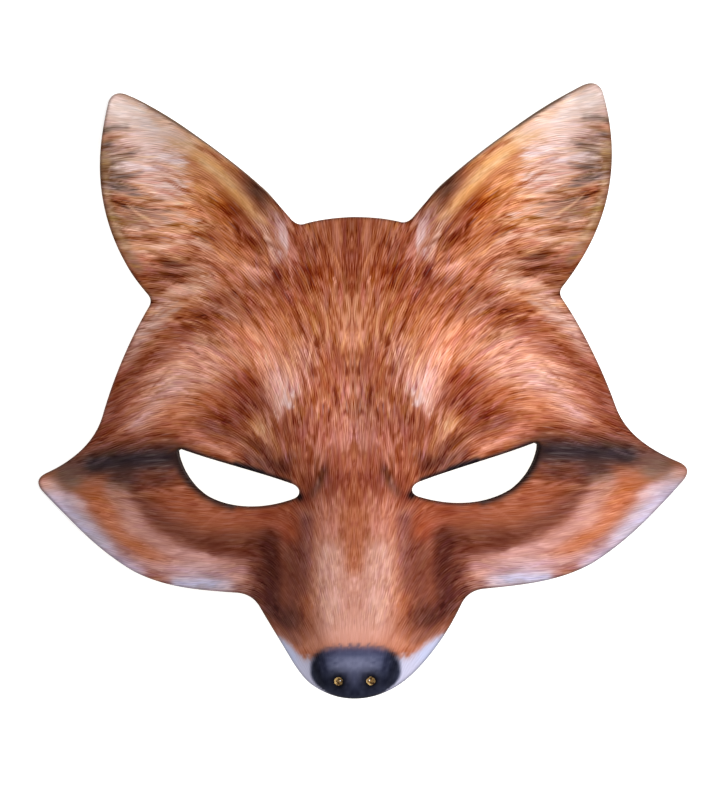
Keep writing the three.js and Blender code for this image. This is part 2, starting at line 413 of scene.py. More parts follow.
@dataclass
class NodeGrid:
    """Nodes of a square grid over the whole face, numbered row by row, with one at the origin."""

    pitch: float
    # How many cells away from a point its distance is still measured.
    reach: int = 3

    def __post_init__(self) -> None:
        """Counts the rows and columns."""
        self.middle_col = math.ceil(HALF_WIDTH / self.pitch)
        self.first_row = math.floor(LOW_Y / self.pitch)
        self.cols = 2 * self.middle_col + 1
        self.rows = math.ceil(HIGH_Y / self.pitch) + 1 - self.first_row

    def points(self) -> np.ndarray:
        """Place of every node."""
        col, row = np.meshgrid(np.arange(self.cols) - self.middle_col, np.arange(self.rows) + self.first_row)
        return np.stack([col.ravel(), row.ravel()], axis=1) * self.pitch

    def inside(self, start: np.ndarray, end: np.ndarray) -> np.ndarray:
        """Which nodes the lines enclose.

        Formula: a node is enclosed when its row has crossed the lines an odd number of times before it.

        Args:
            start: first point of every short piece of the lines.
            end: last point of every such piece.

        Returns:
            True or False for every node.
        """
        low, high = np.minimum(start[:, 1], end[:, 1]), np.maximum(start[:, 1], end[:, 1])
        row = np.ceil(low / self.pitch).astype(int)
        hit = row * self.pitch < high
        share = (row * self.pitch - start[:, 1])[hit] / (end[:, 1] - start[:, 1])[hit]
        cross_x = start[hit, 0] + share * (end[:, 0] - start[:, 0])[hit]
        col = np.clip(np.ceil(cross_x / self.pitch).astype(int) + self.middle_col, 0, self.cols - 1)
        flips = np.zeros((self.rows, self.cols), int)
        np.add.at(flips, (row[hit] - self.first_row, col), 1)
        return (np.cumsum(flips, axis=1) % 2 == 1).ravel()

    def nearest(self, points: np.ndarray) -> tuple[np.ndarray, np.ndarray]:
        """The point that is nearest to each node, of those within reach.

        Args:
            points: the points to look among.

        Returns:
            The point's number and its distance for every node. Nodes out of reach have 0 and the reach.
        """
        near = np.rint(points / self.pitch).astype(int)[:, None] + cells_round(self.reach)
        gap = np.hypot(near[..., 0] * self.pitch - points[:, :1], near[..., 1] * self.pitch - points[:, 1:])
        col, row = near[..., 0] + self.middle_col, near[..., 1] - self.first_row
        ok = (col >= 0) & (col < self.cols) & (row >= 0) & (row < self.rows)
        node, gap, which = (row * self.cols + col)[ok], gap[ok], np.nonzero(ok)[0]
        farthest_first = np.argsort(-gap, kind="stable")
        distance = np.full(self.rows * self.cols, self.reach * self.pitch)
        nearest = np.zeros(self.rows * self.cols, int)
        distance[node[farthest_first]] = gap[farthest_first]
        nearest[node[farthest_first]] = which[farthest_first]
        return nearest, distance

    def cells(self, kept: np.ndarray) -> tuple[np.ndarray, np.ndarray]:
        """Squares of four kept nodes, and triangles of the cells that have three.

        Args:
            kept: True or False for every node.

        Returns:
            Both as rows of node numbers.
        """
        corner = (np.arange(self.rows - 1)[:, None] * self.cols + np.arange(self.cols - 1)).ravel()
        cell = corner[:, None] + np.array([0, 1, self.cols + 1, self.cols])
        held = kept[cell]
        three = held.sum(axis=1) == 3
        missing = np.argmin(held[three], axis=1)
        take = (missing[:, None] + np.array([1, 2, 3])) % 4
        return cell[held.all(axis=1)], np.take_along_axis(cell[three], take, axis=1)


def open_nodes(quads: np.ndarray, triangles: np.ndarray) -> np.ndarray:
    """Nodes on edges that only one face has.

    Args:
        quads: squares as rows of node numbers.
        triangles: triangles as rows of node numbers.

    Returns:
        Their numbers, in order.
    """
    pairs = [np.stack([faces, np.roll(faces, -1, axis=1)], axis=-1) for faces in (quads, triangles)]
    edges = np.concatenate([pair.reshape(-1, 2) for pair in pairs])
    base = edges.max() + 1
    one_way, other_way = edges[:, 0] * base + edges[:, 1], edges[:, 1] * base + edges[:, 0]
    return np.unique(edges[~np.isin(one_way, other_way)])


@dataclass(frozen=True)
class CutGrid:
    """A square grid of points cut to the mask's lines, with its outermost points moved onto them."""

    points: np.ndarray
    quads: np.ndarray
    triangles: np.ndarray
    edge_distance: np.ndarray
    rim: list[np.ndarray]
    rim_place: list[np.ndarray]

    @classmethod
    def cut(cls, lines: Sequence[CutLine], pitch: float, overhang: float = 0.49) -> "CutGrid":
        """Cuts a grid to the lines.

        Formula: a node is kept when the lines enclose it, or when it lies outside them by less than
        the overhang along a row or column. Cells of four kept nodes are squares, cells of three are
        triangles, and the nodes on open edges move to the nearest point of a line.

        Args:
            lines: the closed lines.
            pitch: distance between nodes.
            overhang: how far out a node may lie, as a share of the pitch.

        Returns:
            The cut grid, with each rim's points in order along its line.
        """
        grid = NodeGrid(pitch)
        points = grid.points()
        start = np.concatenate([line.points for line in lines])
        end = np.concatenate([np.roll(line.points, -1, axis=0) for line in lines])
        inside = grid.inside(start, end)
        nearest, distance = grid.nearest(start)
        away = points - start[nearest]
        slant = np.abs(away).max(axis=1) / np.maximum(np.hypot(*away.T), 1e-9)
        quads, triangles = grid.cells(inside | (distance < overhang * pitch * slant))

        rim_nodes = open_nodes(quads, triangles)
        points[rim_nodes] = start[nearest[rim_nodes]]
        edge_distance = np.where(inside, distance, 0.0)
        edge_distance[rim_nodes] = 0.0
        used = np.unique(np.concatenate([quads.ravel(), triangles.ravel()]))
        number = np.full(len(points), -1)
        number[used] = np.arange(len(used))

        of_line = np.repeat(np.arange(len(lines)), [len(line.points) for line in lines])
        place = np.concatenate([np.arange(len(line.points)) for line in lines])
        rim, rim_place = [], []
        for k in range(len(lines)):
            own = rim_nodes[of_line[nearest[rim_nodes]] == k]
            own = own[np.argsort(place[nearest[own]], kind="stable")]
            rim.append(number[own])
            rim_place.append(place[nearest[own]].astype(float))
        return cls(points[used], number[quads], number[triangles], edge_distance[used], rim, rim_place)


def join_rims(
    upper: np.ndarray, upper_place: np.ndarray, lower: np.ndarray, lower_place: np.ndarray
) -> np.ndarray:
    """Triangles between two rims that follow the same line, one above the other.

    Formula: the points of both rims are sorted by their place along the line, and each step to the
    next point closes a triangle with the point last met on the other rim. Half a place is added to the
    lower rim, so that no two places are the same.

    Args:
        upper: point numbers of the rim nearer the front, in order along the line.
        upper_place: where those points stand along the line.
        lower: point numbers of the rim nearer the back.
        lower_place: where those points stand along the line.

    Returns:
        Triangles as rows of point numbers that face out of the sheet.
    """
    place = np.concatenate([upper_place, lower_place + 0.5])
    is_upper = np.concatenate([np.ones(len(upper), bool), np.zeros(len(lower), bool)])
    step_upper = is_upper[np.argsort(place, kind="stable")]
    up = np.cumsum(step_upper) - 1
    low = np.cumsum(~step_upper) - 1
    from_upper = np.stack([upper[up - 1], upper[up], lower[low]], axis=1)[step_upper]
    from_lower = np.stack([upper[up], lower[low], lower[low - 1]], axis=1)[~step_upper]
    return np.concatenate([from_upper, from_lower])


def lay_over(values: np.ndarray, colour: np.ndarray | Colour | float, weight: np.ndarray) -> None:
    """Moves an array's colours or numbers towards another one by a weight for each node, in place."""
    weight = weight[..., None] if values.ndim == 3 else weight
    values += (np.asarray(colour, float) - values) * weight


def blend_nodes(values: np.ndarray, col: np.ndarray, row: np.ndarray) -> np.ndarray:
    """Linear blend of an array's four nodes round each point.

    Args:
        values: rows and columns of numbers or colours.
        col: place of the points across the columns.
        row: place of the points along the rows.

    Returns:
        One value or colour a point.
    """
    # The last place is just before the last node, so that every point has a next node.
    col = np.clip(col, 0.0, values.shape[1] - 1.001)
    row = np.clip(row, 0.0, values.shape[0] - 1.001)
    i, j = col.astype(int), row.astype(int)
    u, v = col - i, row - j
    if values.ndim == 3:
        u, v = u[..., None], v[..., None]
    low = values[j, i] * (1 - u) + values[j, i + 1] * u
    return low * (1 - v) + (values[j + 1, i] * (1 - u) + values[j + 1, i + 1] * u) * v


@dataclass(frozen=True)
class Field:
    """Values on an even grid over the right half of the face. The left half reads the mirror image."""

    values: np.ndarray
    pitch: float

    @staticmethod
    def grid(pitch: float) -> tuple[np.ndarray, np.ndarray]:
        """The x and y of every node of such a grid."""
        return np.meshgrid(np.arange(0.0, HALF_WIDTH + pitch, pitch), np.arange(LOW_Y, HIGH_Y + pitch, pitch))

    def at(self, x: np.ndarray, y: np.ndarray) -> np.ndarray:
        """Values at points, blended linearly between the four nodes round each."""
        return blend_nodes(self.values, np.abs(x) / self.pitch, (y - LOW_Y) / self.pitch)


@dataclass(frozen=True)
class Patch:
    """A soft oval of the print: centre, half sizes, turn in degrees, value, strength and hardness."""

    x: float
    y: float
    half_width: float
    half_height: float
    turn: float
    value: Colour | float
    strength: float = 1.0
    hardness: float = 1.0

    def weight(self, x: np.ndarray, y: np.ndarray) -> np.ndarray:
        """Formula: strength times exp(-(q^2)^hardness), with q the distance in half sizes.

        Args:
            x: across the face.
            y: up the face.

        Returns:
            How much the patch covers there.
        """
        a = math.radians(self.turn)
        dx, dy = x - self.x, y - self.y
        along = (dx * math.cos(a) + dy * math.sin(a)) / self.half_width
        across = (dy * math.cos(a) - dx * math.sin(a)) / self.half_height
        return self.strength * np.exp(-((along**2 + across**2) ** self.hardness))


@dataclass(frozen=True)
class Stripe:
    """A soft band of the print along a bent line: its points, half width, value, strength and hardness."""

    points: tuple[Point, ...]
    half_width: float
    value: Colour | float
    strength: float = 1.0
    hardness: float = 1.0

    def weight(self, x: np.ndarray, y: np.ndarray) -> np.ndarray:
        """Formula: strength times exp(-(q^2)^hardness), with q the distance from the line in half widths.

        Args:
            x: across the face.
            y: up the face.

        Returns:
            How much the stripe covers there.
        """
        nearest = np.full(x.shape, np.inf)
        for (x0, y0), (x1, y1) in zip(self.points[:-1], self.points[1:]):
            dx, dy = x1 - x0, y1 - y0
            t = np.clip(((x - x0) * dx + (y - y0) * dy) / (dx * dx + dy * dy), 0.0, 1.0)
            nearest = np.minimum(nearest, np.hypot(x - x0 - t * dx, y - y0 - t * dy))
        return self.strength * np.exp(-(((nearest / self.half_width) ** 2) ** self.hardness))


Mark = Patch | Stripe


@dataclass(frozen=True)
class Tuft:
    """A tuft of long hairs along a curve: its control points, spread at the root, number and colour."""

    path: tuple[Point, ...]
    spread: float
    hairs: int
    colour: Colour
    # How the hairs of every tuft are drawn, in millimetres or as shares of the curve.
    curve_points: ClassVar[int] = 40
    dab_step: ClassVar[float] = 0.3
    root_range: ClassVar[Range] = (0.0, 0.45)
    length_range: ClassVar[Range] = (0.45, 0.9)
    closing: ClassVar[float] = 0.4
    bend: ClassVar[float] = 0.5
    drift: ClassVar[float] = 0.8
    light_spread: ClassVar[Colour] = (12, 12, 10)
    tint_spread: ClassVar[Colour] = (3, 5, 8)

    def dabs(self, rng: np.random.Generator) -> tuple[np.ndarray, np.ndarray, np.ndarray, np.ndarray]:
        """Dabs of ink that the hairs are drawn with.

        Formula: each hair follows the curve, moved aside by a normal spread that closes a little
        towards the tip, bent by a share of its own and slid along the tuft.

        Args:
            rng: source of the random draws.

        Returns:
            The dabs' x and y, how far along its hair each is from root 0 to tip 1, and their colours.
        """
        n = self.hairs
        curve = bezier(self.path, self.curve_points)
        steps = max(4, int(np.hypot(*np.diff(curve, axis=0).T).sum() / self.dab_step))
        start = rng.uniform(*self.root_range, n)
        end = np.minimum(start + rng.uniform(*self.length_range, n), 1.0)
        along = np.linspace(0.0, 1.0, steps)[:, None]
        t = start + (end - start) * along
        at = np.arange(self.curve_points) / self.curve_points
        x, y = (np.interp(t, at, curve[:, k]) for k in (0, 1))
        way = np.array(self.path[-1], float) - np.array(self.path[0], float)
        way /= np.hypot(*way)
        aside = rng.normal(0.0, self.spread, n) * (1.0 - self.closing * t)
        aside += rng.normal(0.0, self.bend, n) * t**2
        slide = rng.normal(0.0, self.drift, n)
        light, tint = rng.normal(0.0, 1.0, (n, 1)), rng.normal(0.0, 1.0, (n, 1))
        colour = np.array(self.colour) + (light * self.light_spread + tint * self.tint_spread)
        return (
            (x - way[1] * aside + way[0] * slide).ravel(),
            (y + way[0] * aside + way[1] * slide).ravel(),
            np.broadcast_to(along, t.shape).ravel(),
            np.broadcast_to(colour, (steps, n, 3)).reshape(-1, 3),
        )


def lay_marks(base: Colour | float, marks: Sequence[Mark], pitch: float = 0.62) -> Field:
    """A field that starts at one value and takes each mark over what lies under it.

    Args:
        base: colour or number under the marks.
        marks: the marks, the lowest first.
        pitch: distance between the field's nodes.

    Returns:
        The field.
    """
    x, y = Field.grid(pitch)
    values = np.broadcast_to(np.asarray(base, float), (*x.shape, *np.shape(base))).copy()
    for mark in marks:
        lay_over(values, mark.value, mark.weight(x, y))
    return Field(values, pitch)


@dataclass(frozen=True)
class FoxCoat:
    """Where the printed coat has which colour, and how its hairs lie.

    Each group of marks is named for the part of the face that it colours, and its lowest marks come
    first. The marks are on the right half, and the left half mirrors them.
    """

    ground: Colour = (168, 92, 60)
    # Centre, half sizes and turn of the lip's side, which the muzzle and the lip both colour.
    lip_place: tuple[float, ...] = (26.5, -95.0, 13.4, 8.6, 40)
    forehead: tuple[Mark, ...] = (
        Patch(0, 56, 26, 12, 0, (132, 62, 34), 0.85),
        Patch(14, 55, 6, 7, 0, (190, 118, 90), 0.62),
        Patch(21, 47, 3.4, 5.4, -25, (204, 126, 100), 0.75),
        Stripe(((13.5, 51), (14.5, 45), (18, 37)), 3.6, (122, 52, 30), 0.8),
        Patch(4, 25, 7, 7, 0, (176, 94, 58), 0.75),
        Patch(3, 34, 5, 5, 0, (190, 108, 76), 0.6),
        Patch(10, 40, 13, 9, 0, (150, 68, 38), 0.75),
        Patch(17, 29, 6, 8, 0, (202, 120, 86), 0.7),
        Patch(26, 25, 8, 8.5, 30, (148, 66, 30), 0.85),
        Patch(0, 14, 5.0, 12, 0, (224, 146, 112), 0.8),
        Patch(8, 5.5, 9, 8, 0, (174, 92, 64), 0.75),
        Patch(20, 13, 4, 6, 0, (214, 138, 110), 0.7),
        Patch(36, 18, 16, 8, -18, (224, 138, 98), 0.85),
        Patch(41, 50.2, 9, 5.2, 30, (242, 162, 128), 0.92),
        Patch(35.5, 46, 4.6, 3.6, 50, (255, 182, 150), 0.85),
        Patch(31, 14, 6, 9, -35, (246, 156, 120), 0.75),
        Patch(50, 15, 11, 7, 10, (230, 160, 140), 0.75),
        Patch(52, 20, 7, 2.5, 15, (198, 146, 110), 0.5),
        Stripe(((17, 15), (16.3, 8)), 2.3, (224, 162, 148), 0.7),
        Stripe(((26, 6), (26, 1), (26, -3)), 4.6, (244, 180, 166), 0.92),
        Patch(40, 8, 4, 3, 0, (176, 88, 52), 0.6),
        Patch(19, 3, 4, 5, 0, (216, 144, 130), 0.6),
        Patch(21, -11, 6, 5, 0, (138, 68, 44), 0.65),
        Stripe(((35.5, 5), (37, 0), (41, 3)), 3.8, (156, 76, 52), 0.85),
        Patch(39, -5, 9, 3.8, -12, (122, 54, 34), 0.75),
        Stripe(((33, -3), (39, -6), (46, -8.5), (54, -10)), 3.4, (134, 60, 40), 0.75),
        Patch(53, 1.5, 8, 3.8, 20, (154, 58, 18), 0.85),
        Stripe(((30, -14.5), (32, -12), (34, -9.5)), 2.8, (208, 142, 108), 0.8),
        Stripe(((23.5, -22), (26, -25), (31, -23), (37, -21.4)), 2.4, (108, 54, 42), 0.82),
        Stripe(((42.5, -18.8), (47, -16.6), (58, -13)), 2.8, (222, 144, 118), 0.85),
        Stripe(((30, -19), (40, -14), (52, -10.5)), 2.0, (120, 58, 40), 0.72),
        Patch(27, -25, 5, 3.0, 18, (90, 42, 32), 0.9),
        Patch(45, 30, 7, 3.2, 20, (166, 112, 98), 0.6),
        Stripe(
            ((27, 40), (36, 38), (46, 34), (54, 28.5), (62, 21), (72, 14), (80, 8)),
            2.7, (140, 68, 44), 0.85,
        ),
        Stripe(((50, 12), (59, 11), (66, 8)), 5.0, (232, 160, 138), 0.85),
        Patch(26, 42, 1.8, 4.4, -12, (104, 30, 16), 0.85),
    )
    temple: tuple[Mark, ...] = (
        Patch(60, 5, 12, 5, 4, (236, 178, 158), 0.85),
        Stripe(((64, 3), (70, -1), (77, -8)), 4.4, (212, 158, 152), 0.82),
        Patch(61, -4, 8, 5, 0, (220, 138, 102), 0.8),
        Patch(60, -14.2, 6, 2.4, -12, (172, 86, 60), 0.85),
        Stripe(((82.5, 6), (85, 0), (94, -15)), 5.0, (126, 60, 40), 0.88),
        Stripe(((66, -15.5), (74, -15.5), (88, -16.5)), 3.2, (112, 56, 40), 0.8),
        Patch(79, -1, 4, 4, 30, (208, 130, 108), 0.5),
        Patch(80.5, 18, 3, 3, 0, (160, 98, 80), 0.5),
        Stripe(((64, 33), (70, 28), (76, 21), (80, 15)), 3.4, (172, 120, 106), 0.85),
        Patch(76.5, 24.5, 3.4, 3.4, 0, (216, 174, 168), 0.7),
        Patch(48, 45, 11, 5.5, 22, (212, 132, 104), 0.7),
        Patch(57, 34.5, 8, 3, -12, (222, 150, 106), 0.7),
        Stripe(((50, 39.6), (56, 38.5), (64, 36.5), (69, 34)), 2.6, (208, 150, 124), 0.85),
        Patch(64.5, 43.8, 10, 3.2, -8, (98, 50, 34), 0.95),
        Patch(62, 48.2, 7.4, 1.6, -2, (118, 72, 50), 0.8),
        Patch(58, 47.5, 4.4, 2.6, 10, (126, 58, 32), 0.8),
        Patch(68.5, 54.0, 11.5, 3.8, 0, (254, 204, 176), 0.95),
        Patch(75, 41.5, 3, 3, 0, (176, 112, 72), 0.75),
        Patch(72, 36.5, 4, 3.6, 0, (120, 66, 40), 0.88),
    )
    ear: tuple[Mark, ...] = (
        Patch(60, 72, 22, 22, 20, (198, 122, 77), 0.95),
        Stripe(((37, 52), (42, 62), (46, 68)), 4.6, (176, 88, 32), 0.86),
        Stripe(((34.5, 58), (38, 63.5), (41, 68.5)), 3.2, (116, 38, 6), 0.88),
        Patch(37, 56, 6, 7, -25, (140, 68, 38), 0.8),
        Patch(53, 53.4, 7, 3.6, 10, (140, 62, 24), 0.85),
        Patch(57, 76, 9, 8, 40, (210, 132, 82), 0.8),
        Patch(72, 88, 12, 12, -20, (218, 182, 172), 0.9),
        Patch(72, 96, 8, 3.4, 20, (234, 200, 184), 0.7),
        Patch(69, 76, 8, 11, 0, (212, 154, 132), 0.8),
        Stripe(((85, 88), (85, 81), (84, 78)), 4.7, (116, 86, 72), 0.82, 1.4),
        Patch(83, 85, 5, 3.4, 0, (106, 74, 62), 0.8),
        Patch(77.8, 89.4, 8, 4.0, 0, (174, 130, 112), 0.75),
        Patch(84, 104, 12, 9, 20, (246, 226, 220), 0.95),
        Patch(66, 96, 7, 3.0, 32, (216, 166, 142), 0.7),
        Patch(76.5, 63, 8, 6, 20, (134, 92, 68), 0.8),
        Patch(74, 61, 5, 3, 0, (140, 92, 66), 0.6),
        Patch(61, 52.6, 9, 2.0, 4, (236, 160, 124), 0.7),
        Stripe(((32, 62), (40, 71.4), (48, 81), (57, 88), (64, 93)), 2.7, (234, 172, 114), 0.92, 1.4),
        Stripe(((42, 74.5), (48, 79.5), (54, 84)), 1.0, (238, 190, 146), 0.7),
        Stripe(((41, 80.5), (48, 87), (55, 91.5)), 1.4, (212, 148, 102), 0.75),
        Stripe(((59, 90.5), (68, 97), (78, 103.5)), 3.4, (234, 196, 174), 0.9),
        Patch(31.5, 66, 3.8, 2.8, 45, (124, 64, 40), 0.75),
        Patch(33.0, 72.0, 6.6, 2.9, 48, (66, 36, 26), 0.97),
        Patch(25.5, 62, 4.6, 3.2, 50, (158, 112, 100), 0.75),
        Stripe(((24, 60), (24.5, 53), (25, 48)), 2.2, (186, 136, 130), 0.6),
        Stripe(((27.5, 47), (28.5, 54), (33, 62)), 1.5, (206, 148, 128), 0.8),
        Stripe(((30, 58), (31.5, 52), (33.5, 47)), 2.0, (136, 74, 48), 0.8),
        Stripe(((89.8, 89), (90, 84), (88, 70), (83.5, 58), (76, 46)), 2.2, (136, 98, 68), 0.9, 1.4),
        Patch(74, 52.5, 5, 2.2, 0, (216, 160, 134), 0.7),
        Stripe(((82, 98), (86, 97.6), (90, 96.6)), 1.2, (92, 80, 72), 0.8),
        Patch(88.6, 91.6, 2.2, 0.9, 0, (70, 62, 60), 0.85),
        Stripe(((88.9, 80), (88.2, 73), (85.8, 64), (81, 54)), 1.0, (206, 162, 122), 0.6),
        Patch(84.5, 75.5, 4.0, 1.5, 14, (84, 66, 58), 0.7),
    )
    cheek: tuple[Mark, ...] = (
        Patch(54, -37.5, 20, 7, 8, (166, 90, 62), 0.85),
        Patch(69, -28, 9, 4.0, -6, (98, 52, 40), 0.9),
        Patch(31, -42, 10, 4, 0, (146, 70, 48), 0.8),
        Stripe(
            ((84, -29), (77, -37), (68, -44), (56, -50), (44, -50.5), (34, -51)),
            5.0, (112, 60, 46), 0.85, 1.2,
        ),
        Stripe(((62, -53), (52, -54), (42, -55), (37, -56)), 2.4, (94, 36, 22), 0.85),
        Patch(85, -29, 7, 4.0, -20, (76, 46, 40), 0.92),
        Stripe(
            ((91, -26), (92.5, -32.5), (89.5, -40.5), (84.5, -48.5), (76.5, -55), (66, -59)),
            4.5, (190, 104, 64), 0.97, 1.2,
        ),
        Stripe(
            ((87, -31), (81.5, -39), (76, -46.5), (68, -52), (58, -56), (48, -58.5)),
            3.6, (216, 158, 148), 0.95, 1.3,
        ),
        Patch(86, -33, 3.6, 4, 0, (206, 146, 116), 0.8),
        Patch(82, -45, 5, 3, 40, (226, 168, 154), 0.7),
        Patch(44, -60, 8, 4, 0, (214, 158, 150), 0.9),
        Patch(72, -61.5, 10, 2.8, 15, (208, 144, 130), 0.85),
        Stripe(
            ((112, -34), (104, -40), (97, -47.5), (89, -55.5), (81, -61)),
            5.2, (206, 194, 218), 0.97, 1.5,
        ),
        Stripe(((110, -32), (104, -34.5), (100, -37)), 2.2, (222, 192, 202), 0.85),
        Stripe(((85, -54), (80, -57), (75, -60), (70, -63)), 2.6, (172, 106, 92), 0.45),
        Patch(60, -60.5, 14, 3.2, 6, (212, 174, 184), 0.82),
        Stripe(((65, -66), (57, -65.5), (46, -66)), 3.2, (202, 196, 224), 0.95, 1.3),
        Patch(42.5, -62, 4.0, 4.2, 0, (206, 144, 132), 0.85),
        Patch(35, -62, 3.0, 5.0, 0, (98, 46, 36), 0.85),
        Patch(42, -67.5, 5, 2.4, 0, (184, 134, 130), 0.9),
        Patch(83.5, -27.4, 6.5, 3.8, -12, (74, 48, 42), 0.8),
        Stripe(((60, -20.5), (76, -21), (90, -21.6), (105, -24.0)), 5.4, (96, 60, 54), 0.75, 1.4),
        Stripe(((63, -20.3), (80, -21.2), (90, -22.0), (95, -22.8)), 3.6, (50, 38, 42), 0.95, 1.3),
        Patch(107, -26, 6, 3.0, -24, (116, 88, 76), 0.85),
        Patch(103, -29, 4.6, 2.8, -20, (118, 100, 88), 0.8),
        Patch(113, -29.8, 3.2, 2.4, 0, (218, 164, 148), 0.9),
    )
    muzzle: tuple[Mark, ...] = (
        Patch(3, -13, 9, 9.5, 0, (196, 122, 106), 0.85),
        Patch(13, -16, 5, 10, 0, (190, 108, 88), 0.65),
        Patch(5, -30, 8, 8, 0, (192, 108, 76), 0.7),
        Patch(1, -33, 4, 8, 0, (158, 80, 48), 0.8),
        Patch(1, -25.5, 3.6, 4, 0, (204, 124, 92), 0.72),
        Patch(10, -31, 9, 8.5, 0, (128, 56, 38), 0.88),
        Stripe(((8.5, -40), (8.5, -50)), 6.2, (190, 118, 98), 0.85, 1.3),
        Stripe(((8.4, -56), (8, -66), (7, -78)), 6.8, (214, 158, 142), 0.94, 1.5),
        Stripe(((0, -64), (0, -80)), 5.0, (220, 160, 144), 0.8),
        Patch(1, -82.5, 12.5, 5.0, 0, (228, 164, 146), 0.88, 1.3),
        Stripe(((0, -40), (0, -58)), 3.0, (184, 106, 74), 0.75),
        Stripe(((17, -42), (17.5, -54), (18, -66)), 2.8, (132, 76, 66), 0.9, 1.3),
        Patch(23.5, -47, 4, 5, 0, (156, 70, 46), 0.85),
        Stripe(((22, -54), (22, -66), (22, -74)), 4.0, (118, 62, 48), 0.9, 1.3),
        Stripe(((30, -50), (29.5, -62), (31, -74)), 4.4, (80, 34, 26), 0.96, 1.5),
        Patch(36.5, -69.5, 3.0, 3.0, 30, (84, 36, 28), 0.9),
        Patch(25, -78, 8, 5, 15, (74, 32, 24), 0.92),
        Stripe(((12.5, -84.6), (15, -85.2), (18.5, -85.4)), 2.3, (200, 134, 110), 0.9, 1.3),
        Stripe(((20, -84), (25, -83)), 2.0, (132, 78, 62), 0.8, 1.3),
        Stripe(((10.5, -26), (12, -30), (15, -34)), 1.5, (92, 52, 38), 0.75),
        Patch(*lip_place, (196, 196, 224), 1.0, 4.0),
    )
    # The bare pale lip beside the nose, laid over the hairs.
    lip: tuple[Mark, ...] = (
        Patch(*lip_place, (188, 192, 222), 1.0, 5.0),
        Patch(15.0, -98.0, 9.0, 9.2, 0, (192, 190, 214), 1.0, 5.0),
    )
    # Dark lines round the eye hole, laid over the hairs: inner corner, upper lid and lower lid.
    eye_lines: tuple[Mark, ...] = (
        Patch(18.4, -35.4, 3.2, 2.8, 0, (112, 44, 32), 0.75),
        Patch(19.4, -34.8, 1.3, 1.4, 0, (22, 10, 10), 0.95),
        Stripe(
            ((23, -29.6), (32.4, -26.6), (42.8, -23.6), (53, -20.7), (61, -17.9)),
            0.85, (44, 28, 32), 0.9,
        ),
        Stripe(((33, -26.3), (38, -24.7), (42, -23.5)), 1.25, (28, 22, 30), 0.92),
        Stripe(((22.4, -35.9), (29, -37.6), (36.6, -38.4), (44, -37.6)), 0.75, (92, 50, 38), 0.75),
        Stripe(
            ((44, -37.6), (49.2, -36.0), (54, -33.4), (58.8, -29.7), (62, -25.5), (64, -20)),
            1.6, (52, 34, 32), 0.92,
        ),
    )
    # The bare nose: a dark top edge, a painted highlight across its upper part, dark sides, painted shade on
    # its underside, which curves down, and the nostrils.
    nose: tuple[Mark, ...] = (
        Patch(0, -88.2, 12.0, 3.0, 0, (74, 78, 108), 0.9, 1.3),
        # Painted highlight across the upper nose.
        Patch(0, -91.2, 10.8, 3.0, 0, (124, 126, 154), 0.92, 1.3),
        Stripe(((0, -85.6), (10, -86.4)), 1.2, (92, 84, 112), 0.85),
        Stripe(((13.4, -87.5), (13.6, -92), (11.4, -98)), 2.3, (18, 20, 34), 0.92),
        Stripe(((11.2, -88.5), (9.8, -93.5)), 0.9, (30, 32, 52), 0.7),
        # Painted shade on the underside, where the nose curves down.
        Patch(0, -101.5, 12, 3.6, 0, (28, 31, 48), 0.9),
        Patch(0, -95.5, 4.0, 3.0, 0, (84, 86, 112), 0.7),
        Patch(5.5, -96.9, 3.3, 3.0, 0, (14, 13, 20), 0.97),
    )
    nose_ground: Colour = (50, 54, 76)
    nose_centre_y: float = -94.6
    nose_half: Point = (15.5, 9.8)
    nose_narrow_below: float = -94.0
    nose_narrow_rate: float = 0.09
    nose_softness: float = 0.25
    nose_softness_above: float = 0.6
    nose_overlap: float = 0.4
